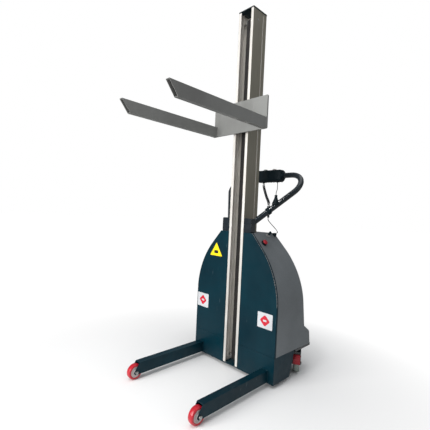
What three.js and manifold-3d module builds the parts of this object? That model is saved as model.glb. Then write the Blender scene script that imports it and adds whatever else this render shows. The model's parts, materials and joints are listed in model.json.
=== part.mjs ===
// Walkie stacker: a pedestrian lifter with one aluminium mast, a belt-driven fork carriage, two front
// legs on rollers, two braked swivel castors and a bow handle with a control head.
// Millimetres, +Z up, -Y towards the fork tips. "left" and "right" are the operator's, who stands at +Y,
// so left is +X. Heights are from the floor, and y is measured from the front face of the mast.
import * as THREE from "three";
import { mergeVertices } from "three/addons/utils/BufferGeometryUtils.js";
import Module from "manifold-3d";

const wasm = await Module();
wasm.setup();

// ---- driving dimensions ----------------------------------------------------------------------------
const GAP = 0.3; // kept between pieces that touch
const CLEAR = 10; // a cutting tool runs this far past the face that it cuts
const SIDES = { left: 1, right: -1 };

const MAST = { halfWidth: 54, depth: 120, bottom: 27, top: 2058, wall: 6, slotHalf: 37 };
const CAP = { height: 6, overhang: 2 };
const TRACK = { front: MAST.wall, width: 22.6, ribWidth: 6, ribDepth: 6 };
const CAVITY_BACK = 74;
const REAR_CHAMBER = { front: 80, back: 114, halfWidth: 40 };
const SIDE_GROOVE = { front: 84, width: 8, depth: 6 };

const BELT = { y: 44, inner: 18, outer: 20, width: 25, lowZ: 62, highZ: 2004 };
const PULLEY = { rim: BELT.inner - GAP, flange: 20.5, halfWidth: 16, flangeWidth: 2.5 };

const BODY = { halfWidth: 300, sideTop: 405.5, archRadius: 464, top: 789, seam: 160, floor: 20 };
const ARCH_END = THREE.MathUtils.degToRad(41); // where the arc gives way to the straight slope
const PANEL_THICKNESS = 3;
const SHEET = 6;
const SIDE_PLATE = { thickness: 8, rear: 192 };
const DECK = { top: 158, thickness: 6, rim: 144, rimWidth: 5, halfWidth: 304, rear: 396, corner: 40 };

const LEG = { height: 60, width: 40, wall: 3, bottom: 27, outer: 265, front: -458 };
const ROLLER = { radius: 40, width: 30, axleY: -476 };

const FORK = { bottom: 1350, height: 60, width: 25, wall: 3, centre: 182, tip: -611, slant: 48 };
const PLATE = { front: -20, back: -10, height: 180 };
const SLIDER = { halfWidth: 30, back: 23.7, low: 55, high: 175 };
const AXLE_HEIGHTS = { lower: 70, upper: 160 };

const HANDLE = { radius: 16, bend: 97, corner: [335, 302, 1142], foot: [81, 37.3, 839] };
const BLOCK = { width: 53.5, depth: 37, bottom: 789.6, top: 869 };
const HEAD = { halfLength: 100, depth: 60, height: 72 };

const WHEEL = { radius: 50, width: 34 };
const CASTOR = { x: 250, y: 309, yaw: THREE.MathUtils.degToRad(29.5), trail: 35, plate: 64, top: 151.7 };

// ---- materials -------------------------------------------------------------------------------------
const FINISH = {
  bluePaint: [0x17323f, 0.35, 0.1],
  greyPaint: [0x6a6c6d, 0.55, 0.1],
  greyPlastic: [0x565c61, 0.6, 0],
  aluminium: [0xb9b4ad, 0.38, 0.9],
  steel: [0xa9abad, 0.3, 1],
  blackPaint: [0x12181c, 0.3, 0.1],
  blackPlastic: [0x16181a, 0.6, 0],
  rubber: [0x1b1b1c, 0.85, 0],
  redPlastic: [0xb81a22, 0.4, 0],
  redTread: [0xc4152e, 0.45, 0],
  greyTread: [0x7d837f, 0.6, 0],
  lightPlastic: [0xc9c2c0, 0.5, 0],
  batteryCase: [0x26282b, 0.6, 0],
};

function finish(key) {
  const [color, roughness, metalness] = FINISH[key];
  return new THREE.MeshStandardMaterial({ color, roughness, metalness });
}

const root = new THREE.Group();

function add(name, geometry, finishKey, parent = root) {
  const mesh = new THREE.Mesh(geometry, finish(finishKey));
  mesh.name = name;
  parent.add(mesh);
  return mesh;
}

// ---- solids ----------------------------------------------------------------------------------------
function toSolid(geometry) {
  const bare = geometry.clone();
  bare.deleteAttribute("normal");
  bare.deleteAttribute("uv");
  const merged = mergeVertices(bare, 1e-3);
  return new wasm.Manifold(
    new wasm.Mesh({
      numProp: 3,
      vertProperties: merged.attributes.position.array,
      triVerts: new Uint32Array(merged.index.array),
    }),
  );
}

function toGeometry(solid) {
  const mesh = solid.getMesh();
  const geometry = new THREE.BufferGeometry();
  geometry.setAttribute("position", new THREE.BufferAttribute(mesh.vertProperties, 3));
  geometry.setIndex(new THREE.BufferAttribute(mesh.triVerts, 1));
  geometry.computeVertexNormals();
  return geometry;
}

function cut(body, ...tools) {
  return toGeometry(tools.reduce((solid, tool) => solid.subtract(toSolid(tool)), toSolid(body)));
}

function join(...bodies) {
  return toGeometry(bodies.map(toSolid).reduce((whole, body) => whole.add(body)));
}

function common(a, b) {
  return toGeometry(toSolid(a).intersect(toSolid(b)));
}

// ---- plain shapes ----------------------------------------------------------------------------------
function box([x0, x1], [y0, y1], [z0, z1]) {
  const geometry = new THREE.BoxGeometry(x1 - x0, y1 - y0, z1 - z0);
  return geometry.translate((x0 + x1) / 2, (y0 + y1) / 2, (z0 + z1) / 2);
}

// A round bar along axis "x", "y" or "z"; centre holds the other two coordinates in x, y, z order.
function rod(axis, radius, [from, to], centre, sides = 24) {
  const geometry = new THREE.CylinderGeometry(radius, radius, to - from, sides);
  const middle = (from + to) / 2;
  if (axis === "x") return geometry.rotateZ(Math.PI / 2).translate(middle, ...centre);
  if (axis === "y") return geometry.translate(centre[0], middle, centre[1]);
  return geometry.rotateX(Math.PI / 2).translate(...centre, middle);
}

// An outline extruded along an axis. Its points are (y, z) for "x", (x, z) for "y" and (x, y) for "z".
function prism(axis, outline, [from, to], options = {}) {
  const shape = outline instanceof THREE.Shape ? outline : polygon(outline);
  const settings = { depth: to - from, bevelEnabled: false, curveSegments: 4, ...options };
  const geometry = new THREE.ExtrudeGeometry(shape, settings);
  if (axis === "z") return geometry.translate(0, 0, from);
  const basis = new THREE.Matrix4();
  if (axis === "x") {
    basis.makeBasis(unit(0, 1, 0), unit(0, 0, 1), unit(1, 0, 0));
    return geometry.applyMatrix4(basis).translate(from, 0, 0);
  }
  basis.makeBasis(unit(1, 0, 0), unit(0, 0, 1), unit(0, -1, 0));
  return geometry.applyMatrix4(basis).translate(0, to, 0);
}

function unit(x, y, z) {
  return new THREE.Vector3(x, y, z);
}

function polygon(points) {
  return new THREE.Shape(points.map(([a, b]) => new THREE.Vector2(a, b)));
}

// A closed outline whose corners are rounded off.
function rounded(points, radius) {
  const shape = new THREE.Shape();
  const corners = points.map(([a, b]) => new THREE.Vector2(a, b));
  corners.forEach((corner, i) => {
    const before = corners[(i + corners.length - 1) % corners.length];
    const after = corners[(i + 1) % corners.length];
    const into = corner.clone().add(before.clone().sub(corner).setLength(radius));
    const out = corner.clone().add(after.clone().sub(corner).setLength(radius));
    if (i === 0) shape.moveTo(into.x, into.y);
    else shape.lineTo(into.x, into.y);
    shape.quadraticCurveTo(corner.x, corner.y, out.x, out.y);
  });
  shape.closePath();
  return shape;
}

function rectangle([a0, a1], [b0, b1]) {
  return [
    [a0, b0],
    [a1, b0],
    [a1, b1],
    [a0, b1],
  ];
}

// A round bar or tube of the given radius along a smooth curve through the points.
function sweep(points, radius, steps, sides = 12) {
  const curve = new THREE.CatmullRomCurve3(points);
  const section = new THREE.Shape();
  for (let i = 0; i < sides; i++) {
    const angle = (i / sides) * 2 * Math.PI;
    const place = [radius * Math.cos(angle), radius * Math.sin(angle)];
    if (i === 0) section.moveTo(...place);
    else section.lineTo(...place);
  }
  section.closePath();
  return new THREE.ExtrudeGeometry(section, { steps, extrudePath: curve, bevelEnabled: false });
}

// A turned piece: the profile's (radius, height) pairs about an axis that points along direction.
function turned(profile, place, direction, sides = 24) {
  const points = profile.map(([r, h]) => new THREE.Vector2(r, h));
  const geometry = new THREE.LatheGeometry(points, sides);
  const turn = new THREE.Quaternion().setFromUnitVectors(unit(0, 1, 0), direction.clone().normalize());
  return geometry.applyQuaternion(turn).translate(place.x, place.y, place.z);
}

// ---- mast ------------------------------------------------------------------------------------------
function mastOutline() {
  const { halfWidth, depth, wall, slotHalf } = MAST;
  const inner = halfWidth - wall;
  const rib = inner - TRACK.ribWidth;
  const ribFront = TRACK.front + TRACK.width;
  const ribBack = ribFront + TRACK.ribDepth;
  const grooveBack = SIDE_GROOVE.front + SIDE_GROOVE.width;
  const right = [
    [slotHalf, 0],
    [halfWidth, 0],
    [halfWidth, SIDE_GROOVE.front],
    [halfWidth - SIDE_GROOVE.depth, SIDE_GROOVE.front],
    [halfWidth - SIDE_GROOVE.depth, grooveBack],
    [halfWidth, grooveBack],
    [halfWidth, depth],
  ];
  const inside = [
    [inner, CAVITY_BACK],
    [inner, ribBack],
    [rib, ribBack],
    [rib, ribFront],
    [inner, ribFront],
    [inner, TRACK.front],
    [slotHalf, TRACK.front],
  ];
  const mirrored = (points) => points.map(([x, y]) => [-x, y]).reverse();
  return [...right, ...mirrored(right), ...mirrored(inside), ...inside];
}

function buildMast() {
  const shape = polygon(mastOutline());
  const { front, back, halfWidth } = REAR_CHAMBER;
  shape.holes.push(new THREE.Path(polygon(rectangle([-halfWidth, halfWidth], [front, back])).getPoints()));
  const profile = prism("z", shape, [MAST.bottom, MAST.top]);
  const reach = MAST.halfWidth + CLEAR;
  const shaftHole = (z, radius) => rod("x", radius, [-reach, reach], [BELT.y, z], 16);
  add("mast_profile", cut(profile, shaftHole(BELT.lowZ, 8.3), shaftHole(BELT.highZ, 6.3)), "aluminium");

  const capHalf = MAST.halfWidth + CAP.overhang;
  const outline = rounded(rectangle([-capHalf, capHalf], [-CAP.overhang, MAST.depth + CAP.overhang]), 4);
  add("mast_cap", prism("z", outline, [MAST.top + GAP, MAST.top + CAP.height]), "blackPlastic");
}

// ---- lift drive ------------------------------------------------------------------------------------
function pulley(z, bore) {
  const { rim, flange, halfWidth, flangeWidth } = PULLEY;
  const profile = [
    [bore, -halfWidth],
    [flange, -halfWidth],
    [flange, -halfWidth + flangeWidth],
    [rim, -halfWidth + flangeWidth],
    [rim, halfWidth - flangeWidth],
    [flange, halfWidth - flangeWidth],
    [flange, halfWidth],
    [bore, halfWidth],
    [bore, -halfWidth],
  ];
  return turned(profile, unit(0, BELT.y, z), unit(1, 0, 0), 24);
}

function beltLoop(radius, halfWidth) {
  const shape = new THREE.Shape();
  shape.absarc(BELT.y, BELT.lowZ, radius, -Math.PI, 0);
  shape.absarc(BELT.y, BELT.highZ, radius, 0, Math.PI);
  shape.closePath();
  return prism("x", shape, [-halfWidth, halfWidth], { curveSegments: 10 });
}

function buildLiftDrive() {
  const beltHalf = BELT.width / 2;
  add("lift_belt", cut(beltLoop(BELT.outer, beltHalf), beltLoop(BELT.inner, beltHalf + CLEAR)), "rubber");

  const shaft = { drive: 8, idler: 6 };
  add("drive_pulley", pulley(BELT.lowZ, shaft.drive + GAP), "aluminium");
  const shaftEnd = 70;
  add("drive_shaft", rod("x", shaft.drive, [-MAST.halfWidth, shaftEnd], [BELT.y, BELT.lowZ], 16), "steel");
  add("idler_pulley", pulley(BELT.highZ, shaft.idler + GAP), "aluminium");
  const idlerEnd = MAST.halfWidth - 0.5;
  add("idler_axle", rod("x", shaft.idler, [-idlerEnd, idlerEnd], [BELT.y, BELT.highZ], 16), "steel");

  const gearbox = { from: MAST.halfWidth + 2, to: 118, half: 34, corner: 8 };
  const motor = { radius: 32, to: 228, capRadius: 28, capLength: 12 };
  const place = [BELT.y, BELT.lowZ];
  const housing = rounded(
    rectangle([BELT.y - gearbox.half, BELT.y + gearbox.half], [BELT.lowZ - gearbox.half, BELT.lowZ + gearbox.half]),
    gearbox.corner,
  );
  const body = join(
    prism("x", housing, [gearbox.from, gearbox.to]),
    rod("x", motor.radius, [gearbox.to - 1, motor.to], place, 28),
    rod("x", motor.capRadius, [motor.to - 1, motor.to + motor.capLength], place, 28),
  );
  const shaftBore = rod("x", shaft.drive + GAP, [gearbox.from - CLEAR, shaftEnd + GAP], place, 16);
  add("gear_motor", cut(body, shaftBore), "blackPaint");
}

// ---- fork carriage ---------------------------------------------------------------------------------
function buildCarriage() {
  const bottom = FORK.bottom;
  const plateHalf = FORK.centre + FORK.width / 2;
  const plateOutline = rounded(rectangle([-plateHalf, plateHalf], [bottom + 2, bottom + PLATE.height]), 6);
  add("carriage_plate", prism("y", plateOutline, [PLATE.front, PLATE.back]), "greyPaint");

  const axleY = TRACK.front + TRACK.width / 2;
  const axle = { radius: 5, half: 47 };
  const bearing = { radius: 11, from: 38, to: 46.5 };
  let block = box(
    [-SLIDER.halfWidth, SLIDER.halfWidth],
    [PLATE.back + GAP, SLIDER.back],
    [bottom + SLIDER.low, bottom + SLIDER.high],
  );
  for (const [level, height] of Object.entries(AXLE_HEIGHTS)) {
    const place = [axleY, bottom + height];
    const hole = rod("x", axle.radius + GAP, [-SLIDER.halfWidth - CLEAR, SLIDER.halfWidth + CLEAR], place, 16);
    block = cut(block, hole);
    add(`guide_axle_${level}`, rod("x", axle.radius, [-axle.half, axle.half], place, 16), "steel");
    for (const [side, sign] of Object.entries(SIDES)) {
      const profile = [
        [axle.radius + GAP, bearing.from],
        [bearing.radius, bearing.from],
        [bearing.radius, bearing.to],
        [axle.radius + GAP, bearing.to],
        [axle.radius + GAP, bearing.from],
      ];
      const ring = turned(profile, unit(0, ...place), unit(sign, 0, 0), 16);
      add(`guide_roller_${level}_${side}`, ring, "steel");
    }
  }
  add("carriage_slider", block, "aluminium");

  const clampMiddle = bottom + (AXLE_HEIGHTS.lower + AXLE_HEIGHTS.upper) / 2;
  const beltBack = BELT.y - BELT.inner;
  const clamp = { thickness: 5, halfHeight: 22, halfWidth: 18, lip: 2 };
  const clampBody = join(
    box(
      [-clamp.halfWidth, clamp.halfWidth],
      [beltBack + GAP, beltBack + clamp.thickness],
      [clampMiddle - clamp.halfHeight, clampMiddle + clamp.halfHeight],
    ),
    ...[-1, 1].map((sign) => {
      const near = sign * (BELT.width / 2 + GAP);
      const far = sign * clamp.halfWidth;
      return box(
        [Math.min(near, far), Math.max(near, far)],
        [SLIDER.back + GAP, beltBack + clamp.lip],
        [clampMiddle - clamp.halfHeight, clampMiddle + clamp.halfHeight],
      );
    }),
  );
  add("belt_clamp", clampBody, "steel");
}

function buildForks() {
  const { bottom, height, width, wall, centre, tip, slant } = FORK;
  const side = [
    [PLATE.front - GAP, bottom],
    [PLATE.front - GAP, bottom + height],
    [tip - slant, bottom + height],
    [tip, bottom],
  ];
  for (const [name, sign] of Object.entries(SIDES)) {
    const middle = sign * centre;
    const half = width / 2;
    const tube = prism("x", side, [middle - half, middle + half]);
    const hollow = box(
      [middle - half + wall, middle + half - wall],
      [tip - slant - CLEAR, PLATE.front + CLEAR],
      [bottom + wall, bottom + height - wall],
    );
    add(`fork_${name}`, cut(tube, hollow), "greyPaint");
  }
}

// ---- chassis and legs ------------------------------------------------------------------------------
// A welded frame: two front plates beside the mast, two side plates, a cross wall and a floor.
function buildChassis() {
  const { halfWidth, seam, floor } = BODY;
  const inner = halfWidth - SIDE_PLATE.thickness;
  const wallFront = MAST.depth + SHEET;
  const wallTop = DECK.rim + 4;
  const mastSide = MAST.halfWidth + GAP;
  const weld = 1;
  const sideOutline = [
    [0, floor],
    [SIDE_PLATE.rear - 40, floor],
    [SIDE_PLATE.rear - 12, 104],
    [SIDE_PLATE.rear, seam - GAP],
    [0, seam - GAP],
  ];
  const pieces = [
    box([-inner - weld, inner + weld], [wallFront, wallFront + SHEET], [floor, wallTop]),
    box([-inner - weld, inner + weld], [1, wallFront + weld], [floor, floor + SHEET]),
  ];
  for (const sign of Object.values(SIDES)) {
    const plate = [sign * mastSide, sign * halfWidth].sort((a, b) => a - b);
    const side = [sign * inner, sign * halfWidth].sort((a, b) => a - b);
    pieces.push(box(plate, [0, SHEET], [floor, seam - GAP]));
    pieces.push(prism("x", sideOutline, side));
  }
  add("chassis_frame", join(...pieces), "bluePaint");

  // The deck lies between the side plates, and widens behind them to the edge of the cover's skirt.
  const deckOutline = (inset) => {
    const narrow = inner - GAP - inset;
    const wide = DECK.halfWidth - inset;
    const step = SIDE_PLATE.rear + 1 + inset;
    const rear = DECK.rear - inset;
    const right = [
      [narrow, SHEET + GAP],
      [narrow, step],
      [wide, step],
      [wide, rear - DECK.corner],
      [wide - DECK.corner, rear],
    ];
    return [...right, ...right.map(([x, y]) => [-x, y]).reverse()];
  };
  const underside = DECK.top - DECK.thickness;
  const rimFront = SIDE_PLATE.rear + 8;
  const deckBody = cut(
    prism("z", deckOutline(0), [DECK.rim, DECK.top]),
    prism("z", deckOutline(DECK.rimWidth), [DECK.rim - CLEAR, underside]),
    box([-DECK.halfWidth, DECK.halfWidth], [-CLEAR, rimFront], [DECK.rim - CLEAR, underside]),
    box([-mastSide, mastSide], [-CLEAR, MAST.depth + GAP], [DECK.rim - CLEAR, DECK.top + CLEAR]),
  );
  add("deck_plate", deckBody, "blackPaint");
}

function buildLegs() {
  const { height, width, wall, bottom, outer, front } = LEG;
  const ear = 13;
  const earTip = ROLLER.axleY - ear;
  const side = new THREE.Shape();
  side.moveTo(-GAP, bottom);
  side.lineTo(-GAP, bottom + height);
  side.lineTo(front, bottom + height);
  side.lineTo(earTip, bottom + ear);
  side.absarc(ROLLER.axleY, bottom + ear, ear, Math.PI, 1.5 * Math.PI);
  side.closePath();
  const notch = 52;
  for (const [name, sign] of Object.entries(SIDES)) {
    const middle = sign * (outer - width / 2);
    const half = width / 2;
    const insideX = [middle - half + wall, middle + half - wall];
    const leg = cut(
      prism("x", side, [middle - half, middle + half]),
      box(insideX, [earTip - CLEAR, CLEAR], [bottom + wall, bottom + height - wall]),
      box(insideX, [earTip - CLEAR, ROLLER.axleY + notch], [bottom - CLEAR, bottom + wall + 1]),
      rod("x", 5 + GAP, [middle - half - CLEAR, middle + half + CLEAR], [ROLLER.axleY, ROLLER.radius], 16),
    );
    add(`leg_${name}`, leg, "bluePaint");
    buildFrontWheel(name, middle, half);
  }
}

function buildFrontWheel(name, middle, legHalf) {
  const halfWidth = ROLLER.width / 2;
  const hubRadius = 27;
  const crown = 3;
  const { radius } = ROLLER;
  const tread = [
    [hubRadius + GAP, -halfWidth + 1],
    [radius - crown, -halfWidth],
    [radius, -halfWidth + crown],
    [radius, halfWidth - crown],
    [radius - crown, halfWidth],
    [hubRadius + GAP, halfWidth - 1],
    [hubRadius + GAP, -halfWidth + 1],
  ];
  const hub = [
    [5 + GAP, -halfWidth - 1],
    [11, -halfWidth - 1],
    [13, -halfWidth + 3],
    [hubRadius - 4, -halfWidth + 3],
    [hubRadius, -halfWidth + 1],
    [hubRadius, halfWidth - 1],
    [hubRadius - 4, halfWidth - 3],
    [13, halfWidth - 3],
    [11, halfWidth + 1],
    [5 + GAP, halfWidth + 1],
    [5 + GAP, -halfWidth - 1],
  ];
  const place = unit(middle, ROLLER.axleY, radius);
  const along = unit(1, 0, 0);
  add(`front_wheel_tread_${name}`, turned(tread, place, along, 28), "redTread");
  add(`front_wheel_hub_${name}`, turned(hub, place, along, 16), "lightPlastic");
  const headGap = legHalf + GAP;
  const bolt = [
    [0, -headGap - 5],
    [8, -headGap - 5],
    [8, -headGap],
    [5, -headGap],
    [5, headGap],
    [8, headGap],
    [8, headGap + 6],
    [5, headGap + 8],
    [0, headGap + 8],
  ];
  add(`front_wheel_bolt_${name}`, turned(bolt, place, along, 12), "steel");
}

// ---- body panels and cover -------------------------------------------------------------------------
// Points of the arch, from the foot of its +X side over the top to the foot of its -X side: a plumb side,
// an arc, and a straight slope up to the flat top.
function archPoints(inset, foot) {
  const radius = BODY.archRadius - inset;
  const centreX = BODY.halfWidth - BODY.archRadius;
  const steps = 8;
  const half = [[BODY.halfWidth - inset, foot]];
  for (let i = 0; i <= steps; i++) {
    const angle = (ARCH_END * i) / steps;
    half.push([centreX + radius * Math.cos(angle), BODY.sideTop + radius * Math.sin(angle)]);
  }
  const [arcX, arcZ] = half[half.length - 1];
  const top = BODY.top - inset;
  half.push([arcX - (top - arcZ) * Math.tan(ARCH_END), top]);
  return [...half, ...half.map(([x, z]) => [-x, z]).reverse()];
}

function buildFrontPanels() {
  const edge = MAST.halfWidth + GAP;
  const whole = prism("y", archPoints(0, BODY.seam + GAP), [0, PANEL_THICKNESS]);
  for (const [name, sign] of Object.entries(SIDES)) {
    const range = [sign * edge, sign * (BODY.halfWidth + CLEAR)].sort((a, b) => a - b);
    const half = box(range, [-CLEAR, CLEAR], [0, BODY.top + CLEAR]);
    add(`front_panel_${name}`, common(whole, half), "bluePaint");
  }
}

const COVER = {
  front: PANEL_THICKNESS + GAP,
  rearAtFoot: 341,
  footLevel: 256,
  lean: 0.17,
  round: 70,
  wall: 4,
};
const SKIRT = { step: 222, top: 260, rear: 45, side: 8 };

function rearOf(z) {
  return COVER.rearAtFoot - COVER.lean * (z - COVER.footLevel);
}

// The arch drawn out to the rear, with a rounded back edge that leans forward.
function archForm(inset) {
  const foot = 60;
  const depth = COVER.rearAtFoot - inset;
  const start = -300;
  const form = prism("y", archPoints(inset, foot), [start, depth - COVER.round], {
    bevelEnabled: true,
    bevelThickness: COVER.round,
    bevelSize: COVER.round,
    bevelOffset: -COVER.round,
    bevelSegments: 4,
  });
  const place = form.getAttribute("position");
  for (let i = 0; i < place.count; i++) {
    const y = place.getY(i);
    if (y > 0) place.setY(i, (y / depth) * (rearOf(place.getZ(i)) - inset));
  }
  return form;
}

// One level of the skirt: a rectangle with round rear corners, wider at the rear than at the front.
function skirtLevel(z, inset, flare) {
  const front = -CLEAR;
  const half = BODY.halfWidth - inset;
  const wide = half + flare * SKIRT.side;
  const rear = rearOf(z) - inset + flare * SKIRT.rear;
  const { round } = COVER;
  const points = [unit(half, front, z)];
  const steps = 5;
  for (let i = 0; i <= steps; i++) {
    const angle = ((Math.PI / 2) * i) / steps;
    points.push(unit(wide - round + round * Math.cos(angle), rear - round + round * Math.sin(angle), z));
  }
  const mirrored = points.map((p) => unit(-p.x, p.y, p.z)).reverse();
  return [...points, ...mirrored];
}

// Joins convex outlines of the same number of points, bottom to top, into one closed solid.
function loft(levels) {
  const count = levels[0].length;
  const index = [];
  for (let i = 1; i < count - 1; i++) {
    index.push(0, i + 1, i);
    const top = (levels.length - 1) * count;
    index.push(top, top + i, top + i + 1);
  }
  for (let level = 0; level < levels.length - 1; level++) {
    for (let i = 0; i < count; i++) {
      const next = (i + 1) % count;
      const [a, b] = [level * count + i, level * count + next];
      index.push(a, b, b + count, a, b + count, a + count);
    }
  }
  const geometry = new THREE.BufferGeometry().setFromPoints(levels.flat());
  return geometry.setIndex(index);
}

function skirtForm(inset) {
  return loft([
    skirtLevel(BODY.seam - CLEAR, inset, 1),
    skirtLevel(SKIRT.step, inset, 1),
    skirtLevel(SKIRT.top, inset + 1, 0),
  ]);
}

function coverForm(inset) {
  return join(archForm(inset), skirtForm(inset));
}

function buildCover() {
  const far = 500;
  const room = box([-far, far], [COVER.front, far], [BODY.seam, BODY.top + CLEAR]);
  const outer = common(coverForm(0), room);
  const notch = MAST.halfWidth + GAP;
  const shell = cut(
    outer,
    coverForm(COVER.wall),
    box([-notch, notch], [-CLEAR, MAST.depth + GAP], [BODY.top - 30, BODY.top + CLEAR]),
    ...[STOP, KEY, GLAND].map((control) => slopeRod(control, control.shank + GAP, [-30, 30])),
  );
  add("rear_cover", shell, "greyPlastic");
}

// ---- controls on the cover -------------------------------------------------------------------------
// The stop button, the key and the cable gland stand square on the cover's +X slope.
const SLOPE = unit(Math.cos(ARCH_END), 0, Math.sin(ARCH_END));
const STOP = { x: 163, y: 50, shank: 9 };
const KEY = { x: 128, y: 130, shank: 9 };
const GLAND = { x: 128, y: 195, shank: 8, height: 15 };

function slopePoint({ x, y }) {
  const arcEnd = unit(BODY.halfWidth - BODY.archRadius, 0, BODY.sideTop).addScaledVector(SLOPE, BODY.archRadius);
  return unit(x, y, arcEnd.z + (arcEnd.x - x) / Math.tan(ARCH_END));
}

function slopeTurned(place, profile, sides) {
  return turned(profile, slopePoint(place), SLOPE, sides);
}

function slopeRod(place, radius, [from, to]) {
  const profile = [
    [0, from],
    [radius, from],
    [radius, to],
    [0, to],
  ];
  return slopeTurned(place, profile, 20);
}

function buildStopAndKey() {
  const stem = 4.5;
  const collar = [
    [stem + GAP, -24],
    [STOP.shank, -24],
    [STOP.shank, GAP],
    [17, GAP],
    [17, 4],
    [15, 6],
    [stem + GAP, 6],
    [stem + GAP, -24],
  ];
  const mushroom = [
    [0, -16],
    [stem, -16],
    [stem, 10],
    [12, 10],
    [15, 12.5],
    [15, 16],
    [10, 19.5],
    [0, 20.5],
  ];
  add("stop_button_collar", slopeTurned(STOP, collar, 16), "blackPlastic");
  add("stop_button", slopeTurned(STOP, mushroom, 16), "redPlastic");

  const keyway = 2.5;
  const barrel = [
    [keyway, -24],
    [KEY.shank, -24],
    [KEY.shank, GAP],
    [12, GAP],
    [12, 3],
    [9, 5],
    [keyway, 5],
    [keyway, -24],
  ];
  add("key_switch", slopeTurned(KEY, barrel, 14), "steel");
  const blade = rod("z", keyway - 0.4, [-14, 12], [0, 0], 12);
  const bow = prism("y", rounded(rectangle([-8, 8], [10, 32]), 5), [-1.5, 1.5]);
  const place = slopePoint(KEY);
  const key = join(blade, bow).rotateY(Math.PI / 2 - ARCH_END).translate(place.x, place.y, place.z);
  add("key", key, "blackPlastic");

  const leadBore = LEAD_RADIUS + 0.6;
  const gland = [
    [leadBore, -14],
    [GLAND.shank, -14],
    [GLAND.shank, GAP],
    [12, GAP],
    [12, 8],
    [7, GLAND.height],
    [leadBore, GLAND.height],
    [leadBore, -14],
  ];
  add("cable_gland", slopeTurned(GLAND, gland, 12), "blackPlastic");
}

// ---- handle ----------------------------------------------------------------------------------------
const CORNER = unit(...HANDLE.corner);
const FOOT = unit(...HANDLE.foot);
const RISE = CORNER.clone().sub(FOOT).normalize();

// A point at a distance along the straight part of the +X tube, from the back face of its clamp.
function alongTube(distance) {
  return FOOT.clone().addScaledVector(RISE, distance);
}

// The bow from one clamp to the other, with a round bend at each end of its cross bar.
function handlePath() {
  const toFoot = RISE.clone().negate();
  const toMiddle = unit(-1, 0, 0);
  const half = Math.acos(toFoot.dot(toMiddle)) / 2;
  const tangent = HANDLE.bend / Math.tan(half);
  const bisector = toFoot.clone().add(toMiddle).normalize();
  const centre = CORNER.clone().addScaledVector(bisector, HANDLE.bend / Math.sin(half));
  const start = CORNER.clone().addScaledVector(toFoot, tangent).sub(centre);
  const end = CORNER.clone().addScaledVector(toMiddle, tangent).sub(centre);
  const sweepAngle = start.angleTo(end);
  const straight = CORNER.distanceTo(FOOT) - tangent;
  const points = [alongTube(-18), alongTube(straight / 3), alongTube((2 * straight) / 3)];
  const bends = 8;
  for (let i = 0; i <= bends; i++) {
    const share = i / bends;
    const point = start.clone().multiplyScalar(Math.sin((1 - share) * sweepAngle));
    point.addScaledVector(end, Math.sin(share * sweepAngle)).divideScalar(Math.sin(sweepAngle));
    points.push(point.add(centre));
  }
  points.push(unit(90, CORNER.y, CORNER.z));
  const mirrored = points.map((p) => unit(-p.x, p.y, p.z)).reverse();
  return [...points, ...mirrored];
}

function buildHandle() {
  add("handle_bow", sweep(handlePath(), HANDLE.radius, 60, 12), "blackPaint");
  const { width, depth, bottom, top } = BLOCK;
  const inner = MAST.halfWidth + GAP;
  for (const [name, sign] of Object.entries(SIDES)) {
    const range = [sign * inner, sign * (inner + width)].sort((a, b) => a - b);
    const outline = rounded(rectangle(range, [bottom, top]), 9);
    const mirror = new THREE.Matrix4().makeScale(sign, 1, 1);
    const ends = [alongTube(-18 - GAP), alongTube(90)].map((p) => p.applyMatrix4(mirror));
    const bore = sweep(ends, HANDLE.radius + GAP, 1, 20);
    add(`handle_clamp_${name}`, cut(prism("y", outline, [0, depth]), bore), "blackPaint");
  }
}

function buildControlHead() {
  const { halfLength, depth, height } = HEAD;
  const [y, z] = [CORNER.y, CORNER.z];
  const section = rounded(rectangle([y - depth / 2, y + depth / 2], [z - height / 2, z + height / 2]), 14);
  const bevel = { bevelEnabled: true, bevelThickness: 8, bevelSize: 8, bevelOffset: -8, bevelSegments: 2 };
  const shell = prism("x", section, [-halfLength + 8, halfLength - 8], bevel);
  const ribs = [];
  const ribCount = 9;
  const ribRadius = 5;
  for (let i = 0; i < ribCount; i++) {
    const x = -halfLength + 20 + (i * (2 * halfLength - 40)) / (ribCount - 1);
    ribs.push(rod("y", ribRadius, [y - 20, y + 20], [x, z - height / 2 + 2], 8));
  }
  const collars = rod("x", 23, [-halfLength - 10, halfLength + 10], [y, z], 16);
  const bore = rod("x", HANDLE.radius + GAP + 0.2, [-halfLength - 20, halfLength + 20], [y, z], 16);
  const top = z + height / 2;
  const button = { radius: 12, inset: 14, raise: 8 };
  const buttons = { up: 34, down: -34 };
  const wells = Object.values(buttons).map((x) =>
    rod("z", button.radius + GAP, [top - button.inset, top + CLEAR], [x, y], 16),
  );
  add("control_head", cut(join(shell, ...ribs, collars), bore, ...wells), "blackPlastic");
  for (const [name, x] of Object.entries(buttons)) {
    const profile = [
      [0, -button.inset + 4.5],
      [button.radius, -button.inset + 4.5],
      [button.radius, button.raise - 2],
      [button.radius - 2, button.raise],
      [0, button.raise],
    ];
    const colour = name === "up" ? "lightPlastic" : "greyTread";
    add(`${name}_button`, turned(profile, unit(x, y, top), unit(0, 0, 1), 16), colour);
  }
}

// ---- cords on the handle ---------------------------------------------------------------------------
const CLIP = { at: 120, length: 20, wall: 5, lowerLug: 36, upperLug: 29 };
const HORN = { at: 170, rise: 6, height: 56 };
const CURLY_RADIUS = 8;
const LEAD_RADIUS = 2;
const HEAD_EXITS = { curly: unit(-44, 302, 1098.5), hornLead: unit(62, 302, 1098.5) };

function above(point, height) {
  return unit(point.x, point.y, point.z + height);
}

function tubeSpace(from, to) {
  return sweep([alongTube(from), alongTube(to)], HANDLE.radius + GAP, 1, 12);
}

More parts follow.
